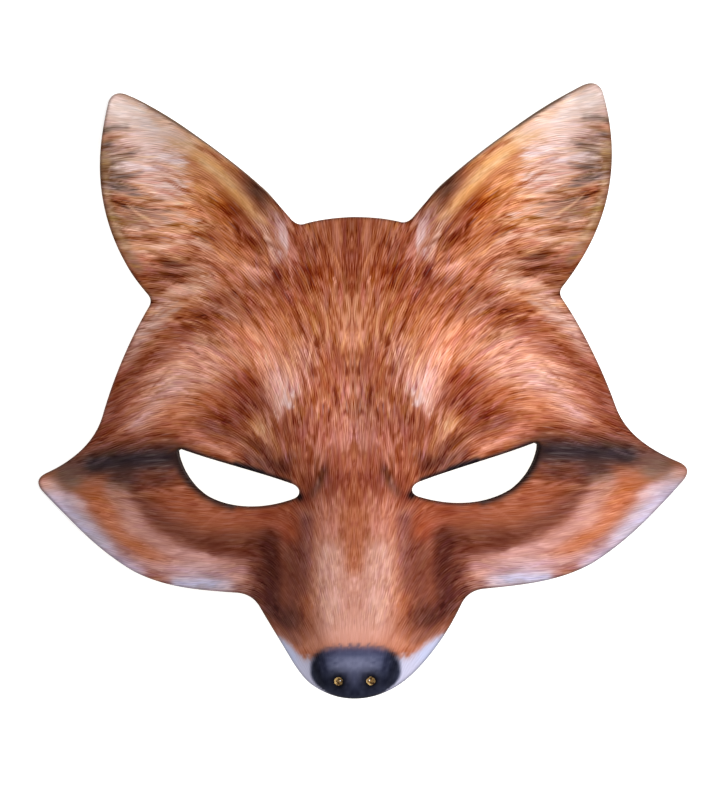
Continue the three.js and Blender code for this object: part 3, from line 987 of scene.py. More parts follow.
    # Long tufts, printed over the undercoat.
    tufts: tuple[Tuft, ...] = (
        Tuft(((25.5, 46), (24, 53), (25, 62)), 1.3, 22, (216, 178, 178)),
        Tuft(((26, 46), (28, 55), (36, 66)), 0.8, 20, (236, 186, 168)),
        Tuft(((30, 43), (33, 50), (46, 55)), 1.7, 14, (212, 132, 102)),
        Tuft(((44, 50), (56, 58), (78, 53)), 0.9, 22, (236, 178, 154)),
        Tuft(((40, 45), (48, 50), (60, 50.5)), 1.2, 12, (226, 152, 122)),
        Tuft(((52, 55), (66, 56), (79, 52)), 0.9, 18, (234, 182, 158)),
        Tuft(((46, 43), (54, 47), (64, 46.5)), 1.2, 10, (230, 182, 164)),
        Tuft(((47, 40), (58, 40.5), (68, 36)), 1.4, 22, (234, 184, 162)),
        Tuft(((60, 34), (70, 30), (79, 21)), 1.8, 12, (218, 176, 162)),
        Tuft(((64, 28), (72, 25.5), (78, 20)), 1.4, 14, (214, 170, 158)),
        Tuft(((48, 60), (64, 60.5), (80, 57.5)), 0.9, 16, (226, 162, 124)),
        Tuft(((52, 62), (66, 64.5), (79, 60.5)), 1.0, 22, (232, 186, 170)),
        Tuft(((56, 66), (72, 64.5), (83, 69)), 0.8, 16, (222, 172, 150)),
        Tuft(((54, 69), (72, 68.5), (86, 73.5)), 1.0, 22, (224, 172, 148)),
        Tuft(((56, 72.5), (74, 71.5), (87.5, 77.5)), 0.9, 24, (230, 188, 176)),
        Tuft(((56, 76), (72, 75.5), (84, 79)), 1.1, 26, (236, 200, 190)),
        Tuft(((56, 80), (72, 79.5), (86, 79)), 1.0, 22, (230, 186, 170)),
        Tuft(((58, 83), (74, 84.5), (87.5, 80.5)), 1.3, 36, (242, 216, 216)),
        Tuft(((58, 87), (74, 88.5), (88, 82)), 1.3, 34, (240, 212, 210)),
        Tuft(((60, 91), (72, 92), (81, 88.5)), 1.3, 28, (238, 208, 200)),
        Tuft(((62, 94.5), (72, 94.5), (85, 93)), 1.7, 32, (236, 206, 198)),
        Tuft(((68, 99), (78, 100), (88, 101)), 2.0, 26, (238, 216, 210)),
        Tuft(((74, 103), (81, 105.5), (88, 106)), 2.0, 22, (238, 218, 212)),
        Tuft(((76, 88.8), (82, 88.6), (88, 85.6)), 0.5, 8, (110, 88, 80)),
        Tuft(((75, 86.4), (82, 86.8), (87.5, 83.6)), 0.5, 8, (108, 88, 80)),
        Tuft(((74, 79.5), (81, 78.5), (87, 80.5)), 0.7, 16, (92, 74, 70)),
        Tuft(((70, 73.5), (80, 73), (87, 77)), 1.0, 26, (74, 58, 54)),
        Tuft(((62, 64.5), (74, 64.5), (85, 70)), 1.3, 24, (100, 72, 58)),
        Tuft(((66, 70.5), (76, 71), (86, 75)), 0.6, 10, (122, 92, 76)),
        Tuft(((58, 48), (68, 47.5), (77, 48)), 0.7, 12, (112, 66, 48)),
        Tuft(((22, -5), (22.5, 1), (21, 9)), 1.8, 22, (240, 206, 204)),
        Tuft(((0.6, 20), (1.6, 32), (3, 44)), 0.7, 12, (226, 158, 122)),
        Tuft(((2, 21), (5, 32), (8.5, 45)), 0.7, 12, (224, 152, 116)),
        Tuft(((3.5, 18), (9, 30), (14.5, 41)), 0.8, 12, (220, 148, 112)),
        Tuft(((9, 15), (14, 25), (21, 35)), 0.9, 14, (222, 148, 112)),
        Tuft(((16, 12), (21, 22), (28, 31)), 1.2, 14, (232, 160, 124)),
        Tuft(((23, 9), (28, 18), (36, 27)), 1.4, 18, (230, 160, 130)),
        Tuft(((9, 42), (11.5, 49), (13.5, 57)), 0.9, 10, (188, 112, 80)),
        Tuft(((4, 44), (5.5, 51), (6.5, 58)), 0.9, 10, (158, 84, 54)),
        Tuft(((27, -9), (26, -3), (26, 5)), 0.9, 14, (240, 188, 174)),
        Tuft(((31, -15), (31, -11), (34, -7)), 1.0, 12, (232, 178, 140)),
    )
    # Length of the hairs in millimetres, their contrast and their light threads where no mark lies.
    plain_length: float = 8.0
    plain_contrast: float = 1.0
    plain_threads: float = 0.1
    hair_length: tuple[Mark, ...] = (
        Patch(0, 40, 60, 40, 0, 10, 0.9),
        Patch(0, -5, 15, 14, 0, 4.2, 0.9),
        Patch(0, -62, 20, 26, 0, 2.0, 0.97),
        Patch(75, 75, 18, 28, 0, 13, 0.95),
        Patch(80, -45, 40, 16, 0, 11, 0.95),
        Patch(50, -62, 20, 10, 0, 10, 0.9),
        Patch(26, -68, 9, 16, 0, 2.6, 0.95),
    )
    hair_contrast: tuple[Mark, ...] = (
        Patch(0, 30, 60, 35, 0, 1.3, 0.95),
        Patch(0, -60, 16, 30, 0, 0.5, 0.95),
        Patch(0, -4, 13, 9, 0, 1.5, 0.8),
        Patch(0, 55, 15, 9, 0, 0.85, 0.85),
        Patch(75, -45, 45, 18, 0, 0.5, 0.95),
        Patch(44, -46, 26, 9, 0, 0.28, 0.95),
        Patch(68, 70, 24, 30, -20, 1.6, 0.9),
        Stripe(((90, 96), (91, 84), (89, 70), (84.5, 58), (77, 46)), 2.6, 0.5, 0.9),
        Stripe(((62, -20.5), (104, -26)), 6, 0.2, 0.9),
        Patch(0, -83, 26, 6, 0, 0.24, 0.9),
        Patch(26, -91, 12, 7, 38, 0.05, 1.0),
        Patch(24, -66, 9, 16, 0, 0.24, 0.95),
        Stripe(((34, 64), (54, 85), (70, 97)), 4, 0.35, 0.9),
        Patch(33, 72, 7, 4, 52, 0.4, 0.9),
        Patch(0, -95, 17, 12, 0, 0.0, 1.0, 3.0),
        Patch(82, 105, 12, 8, 20, 0.4, 0.9),
        Patch(86, -4, 10, 14, 30, 0.75, 0.8),
        Patch(106, -36, 12, 6, 40, 0.25, 0.9),
    )
    light_threads: tuple[Mark, ...] = (
        Patch(0, 25, 60, 32, 0, 0.2, 0.95),
        Patch(74, 78, 20, 30, -20, 0.75, 0.95),
        Patch(28, 6, 20, 10, 20, 0.5, 0.8),
        Patch(0, -4, 13, 9, 0, 0.5, 0.8),
        Patch(68, 0, 16, 12, 0, 0.4, 0.8),
        Patch(0, -75, 48, 48, 0, 0.0, 1.0, 3.0),
    )
    # Where the fur points: place on the right half and degrees from +x.
    combing: tuple[tuple[float, float, float], ...] = (
        (0, 60, 90), (0, 30, 90), (0, 5, 90), (0, -20, 90), (12, 55, 77), (12, 35, 71), (12, 15, 72),
        (12, -5, 86), (24, 50, 60), (24, 32, 57), (24, 15, 65), (23, 3, 80), (24, -8, 98), (36, 40, 48),
        (36, 24, 54), (36, 8, 52), (34, -4, 44), (30, -14, 66), (48, 34, 30), (48, 20, 38), (48, 6, 28),
        (48, -8, 18), (45, -16, 17), (60, 38, 6), (60, 28, 12), (60, 14, 8), (60, 0, 2), (60, -12, 8),
        (72, 33, -6), (72, 22, -14), (72, 8, -14), (72, -4, -22), (72, -14, -22), (82, 14, -22),
        (86, 2, -22), (92, -12, -28), (26, 62, 56), (30, 52, 62), (38, 50, 52), (42, 62, 48), (50, 72, 34),
        (60, 80, 14), (70, 90, 4), (80, 100, 14), (84, 108, 20), (46, 44, 34), (56, 46, 24), (66, 46, 10),
        (74, 48, 6), (56, 60, 22), (68, 60, 6), (78, 60, 2), (66, 70, 8), (78, 70, 12), (86, 74, 12),
        (72, 80, 0), (84, 84, -12), (84, 94, -14), (36, 72, 46), (48, 82, 42), (60, 91, 38), (70, -21, 0),
        (90, -22, -4), (108, -28, -20), (50, -40, 4), (66, -36, 4), (30, -42, -14), (66, -46, 6),
        (80, -40, 10), (92, -38, 14), (104, -38, 16), (90, -50, 16), (74, -56, 8), (56, -58, -2),
        (44, -62, -12), (56, -50, 2), (40, -52, -8), (8, -34, 96), (6, -48, 84), (6, -64, 84),
        (6, -80, 80), (14, -54, 78), (14, -70, 74), (22, -50, 62), (22, -66, 58), (24, -80, 50),
        (31, -60, 40), (30, -74, 44), (20, -30, 50), (14, -24, 110),
    )

    def colours(self) -> Field:
        """Colour of the coat without its hairs."""
        return lay_marks(self.ground, self.forehead + self.temple + self.ear + self.cheek + self.muzzle)

    def lengths(self) -> Field:
        """Length of the hairs."""
        return lay_marks(self.plain_length, self.hair_length)

    def contrasts(self) -> Field:
        """How much light and dark hairs differ from the coat: 0 not at all, 1 by the hair tones."""
        return lay_marks(self.plain_contrast, self.hair_contrast)

    def threads(self) -> Field:
        """How strongly thin light hairs stand out."""
        return lay_marks(self.plain_threads, self.light_threads)

    def directions(
        self, pitch: float = 1.24, reach: float = 7.5, faint: float = 1e-4, faint_reach: float = 20.0
    ) -> Field:
        """Which way the hairs point on the right half.

        Formula: the mean of the combing directions, each weighted by a bell of its distance and by a
        faint share that falls off slowly, so that far nodes have a direction too.

        Args:
            pitch: distance between the field's nodes.
            reach: half width of the bell.
            faint: height of the faint share.
            faint_reach: distance at which the faint share is halved.

        Returns:
            A field of unit vectors.
        """
        x, y = Field.grid(pitch)
        total = np.zeros((*x.shape, 2))
        for comb_x, comb_y, degrees in self.combing:
            angle = math.radians(degrees)
            for side in (1.0, -1.0):
                apart = (x - side * comb_x) ** 2 + (y - comb_y) ** 2
                weight = np.exp(-apart / (2 * reach**2)) + faint / (1 + apart / faint_reach**2)
                total += weight[..., None] * (side * math.cos(angle), math.sin(angle))
        return Field(total / (np.linalg.norm(total, axis=-1, keepdims=True) + 1e-9), pitch)


class HairTone(Enum):
    """Which way a coat of hairs departs from the colour under it, as print values at full contrast."""

    DARK = (-36.0, -36.0, -37.0)
    LIGHT = (31.0, 33.0, 36.0)
    MIDDLE = (0.0, 0.0, 0.0)


@dataclass(frozen=True)
class HairLayer:
    """One layer of printed hairs, which lie in locks."""

    tone: HairTone
    locks: int
    half_width: float
    hairs_a_lock: int = 4
    cover: float = 0.9
    length: float = 1.0


@dataclass
class FurPrint:
    """Paints the coat hair by hair on a fine raster of the right half, which the left half mirrors."""

    coat: FoxCoat
    outline: CutLine
    pitch: float = 0.25
    past_middle: float = 6.0
    seed: int = 7
    undercoat: tuple[HairLayer, ...] = (
        HairLayer(HairTone.DARK, 1500, 0.22),
        HairLayer(HairTone.MIDDLE, 1500, 0.24),
        HairLayer(HairTone.LIGHT, 1500, 0.20),
    ) * 3
    topcoat: tuple[HairLayer, ...] = (
        HairLayer(HairTone.DARK, 850, 0.22, length=1.5),
        HairLayer(HairTone.MIDDLE, 850, 0.22, length=1.5),
        HairLayer(HairTone.LIGHT, 850, 0.20, length=1.5),
    )
    tuft_layer: HairLayer = HairLayer(HairTone.MIDDLE, 0, 0.24)
    # Locks root more sparsely where hairs are longer, by this power, and up to this far off the sheet.
    root_power: float = 0.8
    root_margin: float = 4.0
    # How locks differ in length, width for their length, tint, tone, turn and curl (both in radians).
    length_range: Range = (0.7, 1.35)
    lock_width: float = 0.04
    lock_width_range: Range = (0.7, 1.3)
    warm_tint: Colour = (6, 3, 0)
    cool_tint: Colour = (1, 3, -4)
    shade_depth: float = 10.0
    middle_spread: Colour = (13, 14, 16)
    tone_mean: float = 0.8
    tone_spread: float = 0.5
    turn_spread: float = 0.12
    curl_spread: float = 0.02
    # How the hairs of a lock differ: where they start and end along it, and their lightness.
    hair_start_range: Range = (0.0, 0.3)
    hair_end_range: Range = (0.7, 1.0)
    lock_closing: float = 0.7
    hair_light_spread: float = 10.0
    lit_side: float = 6.0
    root_colour_share: float = 0.25
    # Dabs: step and reach in raster cells, taper to the tip, length of the soft root and density.
    dab_step: float = 1.2
    dab_reach: int = 2
    tip_taper: float = 0.45
    soft_root: float = 0.18
    least_weight: float = 0.01
    density: float = 0.65
    # Clouds that neighbouring locks share: their depths and sizes.
    broad_turn: float = 0.12
    broad_turn_size: float = 4.0
    fine_turn: float = 0.05
    fine_turn_size: float = 1.6
    shade_size: float = 3.0
    # Clouds that fray the borders of the lip and the nose and cloud the nose.
    lip_fray: float = 0.5
    lip_fray_size: float = 0.8
    nose_fray: float = 0.35
    nose_fray_size: float = 0.7
    nose_cloud: float = 6.0
    nose_cloud_size: float = 0.9

    def __post_init__(self) -> None:
        """Lays the coat's fields and marks where hairs may root."""
        self.colour = self.coat.colours()
        self.length = self.coat.lengths()
        self.contrast = self.coat.contrasts()
        self.direction = self.coat.directions()
        self.x = np.arange(-self.past_middle, HALF_WIDTH + self.pitch, self.pitch)
        self.y = np.arange(LOW_Y, HIGH_Y + self.pitch, self.pitch)
        self.grid = np.meshgrid(self.x, self.y)
        self.shape = self.grid[0].shape
        self.random = np.random.default_rng(self.seed)
        self.canvas = self.colour.at(*self.grid)
        self.roots = self.near_sheet()
        chance = 1.0 / self.length.at(*(axis.ravel()[self.roots] for axis in self.grid)) ** self.root_power
        self.chance = chance / chance.sum()

    def near_sheet(self) -> np.ndarray:
        """Raster cells left of where their row last crosses the outline, with a margin outside it.

        Returns:
            Numbers of the cells, where hairs may root.
        """
        x, y = self.outline.points.T
        rows = np.clip(((y - LOW_Y) / self.pitch).astype(int), 0, self.shape[0] - 1)
        reach = np.zeros(self.shape[0])
        np.maximum.at(reach, rows, x)
        reach = np.where(reach > 0, reach + self.root_margin, 0.0)
        return np.flatnonzero((self.x[None, :] < reach[:, None]).ravel())

    def clouds(self, size: float) -> np.ndarray:
        """Smooth random values over the raster: a coarse random grid with eased blends between its nodes.

        Args:
            size: distance between the coarse nodes.

        Returns:
            A raster of values round 0.
        """
        rows, cols = int((HIGH_Y - LOW_Y) / size) + 3, int((HALF_WIDTH + self.past_middle) / size) + 3
        nodes = self.random.normal(0.0, 1.0, (rows, cols))
        col, row = (self.x + self.past_middle) / size, (self.y - LOW_Y) / size
        col = np.floor(col) + ease(col - np.floor(col))
        row = np.floor(row) + ease(row - np.floor(row))
        return blend_nodes(nodes, *np.meshgrid(col, row))

    def raster_at(self, values: np.ndarray, x: np.ndarray, y: np.ndarray) -> np.ndarray:
        """Values of a raster at points."""
        return blend_nodes(values, (x + self.past_middle) / self.pitch, (y - LOW_Y) / self.pitch)

    def root_places(self, count: int) -> tuple[np.ndarray, np.ndarray]:
        """The x and y of random roots, anywhere in their raster cells.

        Args:
            count: how many.

        Returns:
            Both as arrays.
        """
        row, col = np.divmod(self.random.choice(self.roots, size=count, p=self.chance), self.shape[1])
        x = self.x[col] + (self.random.random(count) - 0.5) * self.pitch
        return x, self.y[row] + (self.random.random(count) - 0.5) * self.pitch

    def lock_tones(self, tone: HairTone, contrast: np.ndarray, shade: np.ndarray) -> np.ndarray:
        """How far the colour of each lock departs from the colour under it.

        Args:
            tone: tone of the layer.
            contrast: one row a lock.
            shade: lightness that neighbouring locks share, one row a lock.

        Returns:
            Differences of print values, one row a lock.
        """
        warm, cool, spread = (self.random.normal(0.0, 1.0, contrast.shape) for _ in range(3))
        tint = warm * self.warm_tint + cool * self.cool_tint
        plain = contrast * (tint + shade * self.shade_depth)
        if tone is HairTone.MIDDLE:
            return plain + contrast * spread * self.middle_spread
        return plain + contrast * (self.tone_mean + self.tone_spread * spread) * tone.value

    def lie(self, x: np.ndarray, y: np.ndarray, turn: np.ndarray) -> tuple[np.ndarray, np.ndarray]:
        """Unit steps along the hairs at points, turned by angles and mirrored on the left half.

        Args:
            x: across the face.
            y: up the face.
            turn: angles in radians.

        Returns:
            The steps' x and y.
        """
        way = self.direction.at(x, y)
        way_x, way_y = way[:, 0] * np.where(x < 0, -1.0, 1.0), way[:, 1]
        cos, sin = np.cos(turn), np.sin(turn)
        return way_x * cos - way_y * sin, way_x * sin + way_y * cos

    def follow(
        self, x: np.ndarray, y: np.ndarray, turn: np.ndarray, steps: int
    ) -> tuple[np.ndarray, np.ndarray]:
        """Steps each lock along the lie of the fur.

        Args:
            x: across the face, at the roots.
            y: up the face, at the roots.
            turn: angle of each lock to the lie of the fur.
            steps: number of steps.

        Returns:
            The places of the steps and the unit vectors to the left of them, as x and y by step and lock.
        """
        step = self.dab_step * self.pitch
        curl = self.random.normal(0.0, self.curl_spread, len(x))
        path, side = np.empty((2, steps, len(x))), np.empty((2, steps, len(x)))
        for k in range(steps):
            dx, dy = self.lie(x, y, turn)
            path[:, k], side[:, k] = (x, y), (-dy, dx)
            turn = turn + curl * step
            x, y = x + step * dx, y + step * dy
        return path, side

    def draw(self, layer: HairLayer, turns: np.ndarray, shade: np.ndarray) -> None:
        """Draws one layer over the canvas.

        Formula: every lock starts at a random root and steps along the lie of the fur. Its hairs run
        beside that path, each moved aside by a normal spread that closes towards the tip. Each step of
        a hair adds a dab of the colour under it, mixed with the colour at the root, plus the lock's
        tone, the hair's own tone and a shade that darkens one side of the lock.

        Args:
            layer: the layer's tone, numbers and width.
            turns: raster of turns, in radians, that neighbouring locks share.
            shade: raster of lightness that neighbouring locks share.
        """
        rng, n = self.random, layer.locks
        x, y = self.root_places(n)
        length = layer.length * self.length.at(x, y) * rng.uniform(*self.length_range, n)
        contrast = self.contrast.at(x, y)[:, None]
        width = self.lock_width * length * rng.uniform(*self.lock_width_range, n)
        tone = self.lock_tones(layer.tone, contrast, self.raster_at(shade, x, y)[:, None])
        root_colour = self.colour.at(x, y)
        turn = rng.normal(0.0, self.turn_spread, n) + self.raster_at(turns, x, y)
        step = self.dab_step * self.pitch
        steps = int(np.ceil(length.max() / step))
        path, side = self.follow(x, y, turn, steps)

        lock = np.repeat(np.arange(n), layer.hairs_a_lock)
        aside = rng.normal(0.0, 1.0, len(lock))
        start = rng.uniform(*self.hair_start_range, len(lock))
        end = rng.uniform(*self.hair_end_range, len(lock))
        own = rng.normal(0.0, self.hair_light_spread, len(lock)) + self.lit_side * aside
        along = np.arange(steps)[:, None] * step / length[lock]
        alive = (along > start) & (along < end)
        at_step, hair = np.nonzero(alive)
        along, of_lock = along[alive], lock[hair]
        offset = side[:, at_step, of_lock] * aside[hair] * width[of_lock] * (1.0 - self.lock_closing * along)
        place = path[:, at_step, of_lock] + offset
        under = (1.0 - self.root_colour_share) * self.colour.at(*place)
        colour = under + self.root_colour_share * root_colour[of_lock] + tone[of_lock]
        colour += (contrast[of_lock, 0] * own[hair])[:, None]
        self.dab(layer, *place, (along - start[hair]) / (end - start)[hair], colour)

    def dab(
        self, layer: HairLayer, x: np.ndarray, y: np.ndarray, along: np.ndarray, colour: np.ndarray
    ) -> None:
        """Adds the dabs of a layer to the canvas.

        Formula: a dab is a bell round its place. A cell takes the mean colour of the dabs that reach
        it, with a cover of 1 - exp(-density times their summed weight).

        Args:
            layer: gives the width and cover.
            x: across the face.
            y: up the face.
            along: how far along its hair each dab is, from root 0 to tip 1.
            colour: colour of each dab's hair.
        """
        col, row = (x + self.past_middle) / self.pitch, (y - LOW_Y) / self.pitch
        size = layer.half_width * (1.0 - self.tip_taper * along) / self.pitch
        strength = layer.cover * np.minimum(1.0, along / self.soft_root) * np.sqrt(1.0 - along)
        near = cells_round(self.dab_reach)
        at_col = np.rint(col).astype(int)[:, None] + near[:, 0]
        at_row = np.rint(row).astype(int)[:, None] + near[:, 1]
        apart = (at_col - col[:, None]) ** 2 + (at_row - row[:, None]) ** 2
        weight = strength[:, None] * np.exp(-apart / (2.0 * size[:, None] ** 2))
        on_raster = (at_col >= 0) & (at_col < self.shape[1]) & (at_row >= 0) & (at_row < self.shape[0])
        ok = (weight > self.least_weight) & on_raster
        cell, weight = (at_row * self.shape[1] + at_col)[ok], weight[ok]
        owner = np.nonzero(ok)[0]
        total = self.shape[0] * self.shape[1]
        sums = [np.bincount(cell, weight * colour[owner, k], total) for k in range(3)]
        load = np.bincount(cell, weight, total)
        mean = np.stack(sums, axis=-1) / np.maximum(load, 1e-6)[:, None]
        cover = 1.0 - np.exp(-self.density * load)
        lay_over(self.canvas, mean.reshape(*self.shape, 3), cover.reshape(self.shape))

    def draw_tufts(self) -> None:
        """Draws the long tufts over the canvas, all at once."""
        rows = zip(*(tuft.dabs(self.random) for tuft in self.coat.tufts))
        self.dab(self.tuft_layer, *(np.concatenate(row) for row in rows))

    def add_bare_marks(self) -> None:
        """Lays the pale lip, with a frayed border, and the dark lines round the eye holes over the hairs."""
        x, y = np.abs(self.grid[0]), self.grid[1]
        frayed = [axis + self.lip_fray * self.clouds(self.lip_fray_size) for axis in (x, y)]
        for mark in self.coat.lip:
            lay_over(self.canvas, mark.value, mark.weight(*frayed))
        for mark in self.coat.eye_lines:
            lay_over(self.canvas, mark.value, mark.weight(x, y))

    def add_nose(self) -> None:
        """Lays the bare nose over the hairs.

        Formula: its border is |x / w|^3 + |y / h|^3 = 1 about its centre, with w less nose_narrow_rate
        times the square of the distance below nose_narrow_below. Clouds fray the border, which is
        softer above.
        """
        x, y = self.grid
        coat = self.coat
        half_width, half_height = coat.nose_half
        below = np.clip(coat.nose_narrow_below - y, 0.0, None)
        width = half_width - coat.nose_narrow_rate * below**2
        up = (y + self.nose_fray * self.clouds(self.nose_fray_size) - coat.nose_centre_y) / half_height
        from_centre = np.abs(x / width) ** 3.0 + np.abs(up) ** 3.0
        clouded = self.nose_cloud * self.clouds(self.nose_cloud_size)
        bare = lay_marks(coat.nose_ground, coat.nose).at(x, y) + clouded[..., None]
        above = ease((y - coat.nose_centre_y) / half_height)
        soft = coat.nose_softness + coat.nose_softness_above * above
        lay_over(self.canvas, bare, ease((1.0 + coat.nose_overlap * soft - from_centre) / soft))

    def paint(self) -> None:
        """Paints the undercoat, the tufts, the topcoat, the lip, the eyes' lines and the nose."""
        for coat in (self.undercoat, self.topcoat):
            for layer in coat:
                broad = self.broad_turn * self.clouds(self.broad_turn_size)
                fine = self.fine_turn * self.clouds(self.fine_turn_size)
                self.draw(layer, broad + fine, self.clouds(self.shade_size))
            if coat is self.undercoat:
                self.draw_tufts()
            log.info("%d layers of fur drawn", len(coat))
        self.add_bare_marks()
        self.add_nose()

    def at(self, x: np.ndarray, y: np.ndarray) -> np.ndarray:
        """Print values at points of the face."""
        return self.raster_at(self.canvas, np.abs(x), y)


def linear(print_value: np.ndarray | Colour) -> np.ndarray:
    """Print values from 0 to 255 as linear light: the standard curve with its straight foot."""
    v = np.clip(np.asarray(print_value, float) / 255.0, 0.0, 1.0)
    return np.where(v <= 0.04045, v / 12.92, ((v + 0.055) / 1.055) ** 2.4)


class Side(Enum):
    """The sides of the sheet, in the order of their material slots."""

    FACE = 0
    CUT = 1
    LINING = 2
    NOSTRIL = 3
    EYE_EDGE = 4


class NodeGraph:
    """Short ways to add nodes to a tree."""

    def __init__(self, tree: bpy.types.NodeTree) -> None:
        """Keeps the tree."""
        self.tree = tree

    def node(self, kind: str, inputs: dict, **settings: object) -> bpy.types.Node:
        """A node with its settings, whose inputs are linked to sockets or set to values.

        Args:
            kind: type name of the node.
            inputs: socket or value for each input, by name or number.
            settings: values of the node's own properties.

        Returns:
            The node.
        """
        node = self.tree.nodes.new(kind)
        for name, value in settings.items():
            setattr(node, name, value)
        for name, value in inputs.items():
            if isinstance(value, bpy.types.NodeSocket):
                self.tree.links.new(value, node.inputs[name])
            else:
                node.inputs[name].default_value = value
        return node

    def maths(self, kind: str, *values: bpy.types.NodeSocket | float) -> bpy.types.NodeSocket:
        """Result of a Math node of one kind on sockets or numbers."""
        return self.node("ShaderNodeMath", dict(enumerate(values)), operation=kind).outputs[0]

    def vectors(self, kind: str, inputs: dict) -> bpy.types.NodeSocket:
        """Result of a Vector Math node of one kind on its inputs."""
        return self.node("ShaderNodeVectorMath", inputs, operation=kind).outputs["Vector"]

    def stored(self, name: str, output: str) -> bpy.types.NodeSocket:
        """What the mesh stores under a name: its Color, Vector or Fac."""
        return self.node("ShaderNodeAttribute", {}, attribute_name=name).outputs[output]


@dataclass(frozen=True)
class Streak:
    """Size of a streak of hair: width and length in millimetres."""

    width: float
    length: float


@dataclass(frozen=True)
class FurStrands:
    """Fine streaks of hair laid on a colour, as a node group."""

    fine: Streak = Streak(0.75, 3.4)
    fine_gain: float = 0.3
    broad: Streak = Streak(1.15, 5.0)
    broad_gain: float = 0.2
    straightness: float = 0.92
    even_power: float = 0.58
    thread: Streak = Streak(1.9, 6.5)
    thread_colour: Colour = (0.30, 0.25, 0.24)
    thread_start: float = 0.6
    thread_full: float = 0.8

    def waves(self, graph: NodeGraph, start: bpy.types.Node, streak: Streak) -> bpy.types.NodeSocket:
        """Pattern of short waves from 0 to 1 whose crests run along the fur."""
        inputs = {
            "Vector": start.outputs["Place"],
            "Scale": 1.0 / streak.length,
            "Frequency": streak.length / streak.width,
            "Anisotropy": self.straightness,
            "Orientation": start.outputs["Lie"],
        }
        return graph.node("ShaderNodeTexGabor", inputs, gabor_type="2D").outputs["Value"]

    def threads(self, graph: NodeGraph, start: bpy.types.Node) -> bpy.types.NodeSocket:
        """Thin light threads, cut out of the crests of a pattern of waves, at their amount.

        Args:
            graph: the group's tree.
            start: the group's inputs.

        Returns:
            Their colour, black between them.
        """
        inputs = {
            "Value": self.waves(graph, start, self.thread),
            "From Min": self.thread_start,
            "From Max": self.thread_full,
        }
        crest = graph.node("ShaderNodeMapRange", inputs, interpolation_type="SMOOTHSTEP")
        amount = graph.maths("MULTIPLY", crest.outputs["Result"], start.outputs["Threads"])
        return graph.vectors("SCALE", {0: self.thread_colour, "Scale": amount})

    def group(self) -> bpy.types.NodeTree:
        """Builds the group.

        Formula: each of two patterns is short waves whose crests run along the fur. The colour gains
        depth * the sum of the patterns * colour^0.58, which is an even step as the eye sees it, and
        then the threads.

        Returns:
            The group, with inputs Colour, Place, Lie, Depth, Threads and the output Colour. Lie is the
            angle of the waves in radians, Threads the amount of light threads.
        """
        tree = bpy.data.node_groups.new("fur_strands", "ShaderNodeTree")
        for name, way, kind in (
            ("Colour", "INPUT", "NodeSocketColor"),
            ("Place", "INPUT", "NodeSocketVector"),
            ("Lie", "INPUT", "NodeSocketFloat"),
            ("Depth", "INPUT", "NodeSocketFloat"),
            ("Threads", "INPUT", "NodeSocketFloat"),
            ("Colour", "OUTPUT", "NodeSocketColor"),
        ):
            tree.interface.new_socket(name, in_out=way, socket_type=kind)
        graph = NodeGraph(tree)
        start, end = graph.node("NodeGroupInput", {}), graph.node("NodeGroupOutput", {})
        colour = start.outputs["Colour"]
        sways = [
            graph.maths("MULTIPLY_ADD", self.waves(graph, start, streak), 2.0 * gain, -gain)
            for streak, gain in ((self.fine, self.fine_gain), (self.broad, self.broad_gain))
        ]
        tone = graph.maths("MULTIPLY", graph.maths("ADD", *sways), start.outputs["Depth"])
        even = graph.node("ShaderNodeGamma", {"Color": colour, "Gamma": self.even_power}).outputs["Color"]
        streaked = graph.vectors("ADD", {0: colour, 1: graph.vectors("SCALE", {0: even, "Scale": tone})})
        lit = graph.vectors("ADD", {0: streaked, 1: self.threads(graph, start)})
        tree.links.new(graph.vectors("MAXIMUM", {0: lit, 1: (0.0, 0.0, 0.0)}), end.inputs["Colour"])
        return tree


def plain_shader(
    name: str, roughness: float, specular: float
) -> tuple[bpy.types.Material, bpy.types.NodeTree, bpy.types.Node]:
    """A new material with one Principled shader.

    Args:
        name: name of the material.
        roughness: roughness of the shader.
        specular: specular level of the shader.

    Returns:
        The material, its node tree and the shader.
    """
    material = bpy.data.materials.new(name)
    material.use_nodes = True
    shader = material.node_tree.nodes["Principled BSDF"]
    shader.inputs["Roughness"].default_value = roughness
    shader.inputs["Specular IOR Level"].default_value = specular
    return material, material.node_tree, shader


@dataclass(frozen=True)
class PrintedCloth:
    """Matt knitted cloth that carries the print."""

    roughness: float = 0.85
    specular: float = 0.04

    def material(self) -> bpy.types.Material:
        """Principled shader whose colour is the print attribute with fine streaks on it.

        Returns:
            The material.
        """
        material, tree, shader = plain_shader("printed_cloth", self.roughness, self.specular)
        graph = NodeGraph(tree)
        split = graph.node("ShaderNodeSeparateXYZ", {0: graph.stored("strand", "Vector")}).outputs
        inputs = {
            "Colour": graph.stored("print_colour", "Color"),
            "Place": graph.node("ShaderNodeCombineXYZ", {"X": split[0], "Y": split[1]}).outputs["Vector"],
            "Lie": graph.stored("lie", "Fac"),
            "Depth": split[2],
            "Threads": graph.stored("threads", "Fac"),
        }
        group = graph.node("ShaderNodeGroup", inputs, node_tree=FurStrands().group())
        tree.links.new(group.outputs["Colour"], shader.inputs["Base Color"])
        return material


@dataclass(frozen=True)
class PlainFinish:
    """A finish of one colour, for the cut foam, the lining and the edge of the eye holes, whose dark colour
    there is painted shade.
    """

    name: str
    colour: Colour
    roughness: float
    specular: float = 0.2

    def material(self) -> bpy.types.Material:
        """Principled shader with its colour on the shader's own socket.

        Returns:
            The material.
        """
        material, _, shader = plain_shader(self.name, self.roughness, self.specular)
        shader.inputs["Base Color"].default_value = (*linear(self.colour), 1.0)
        return material


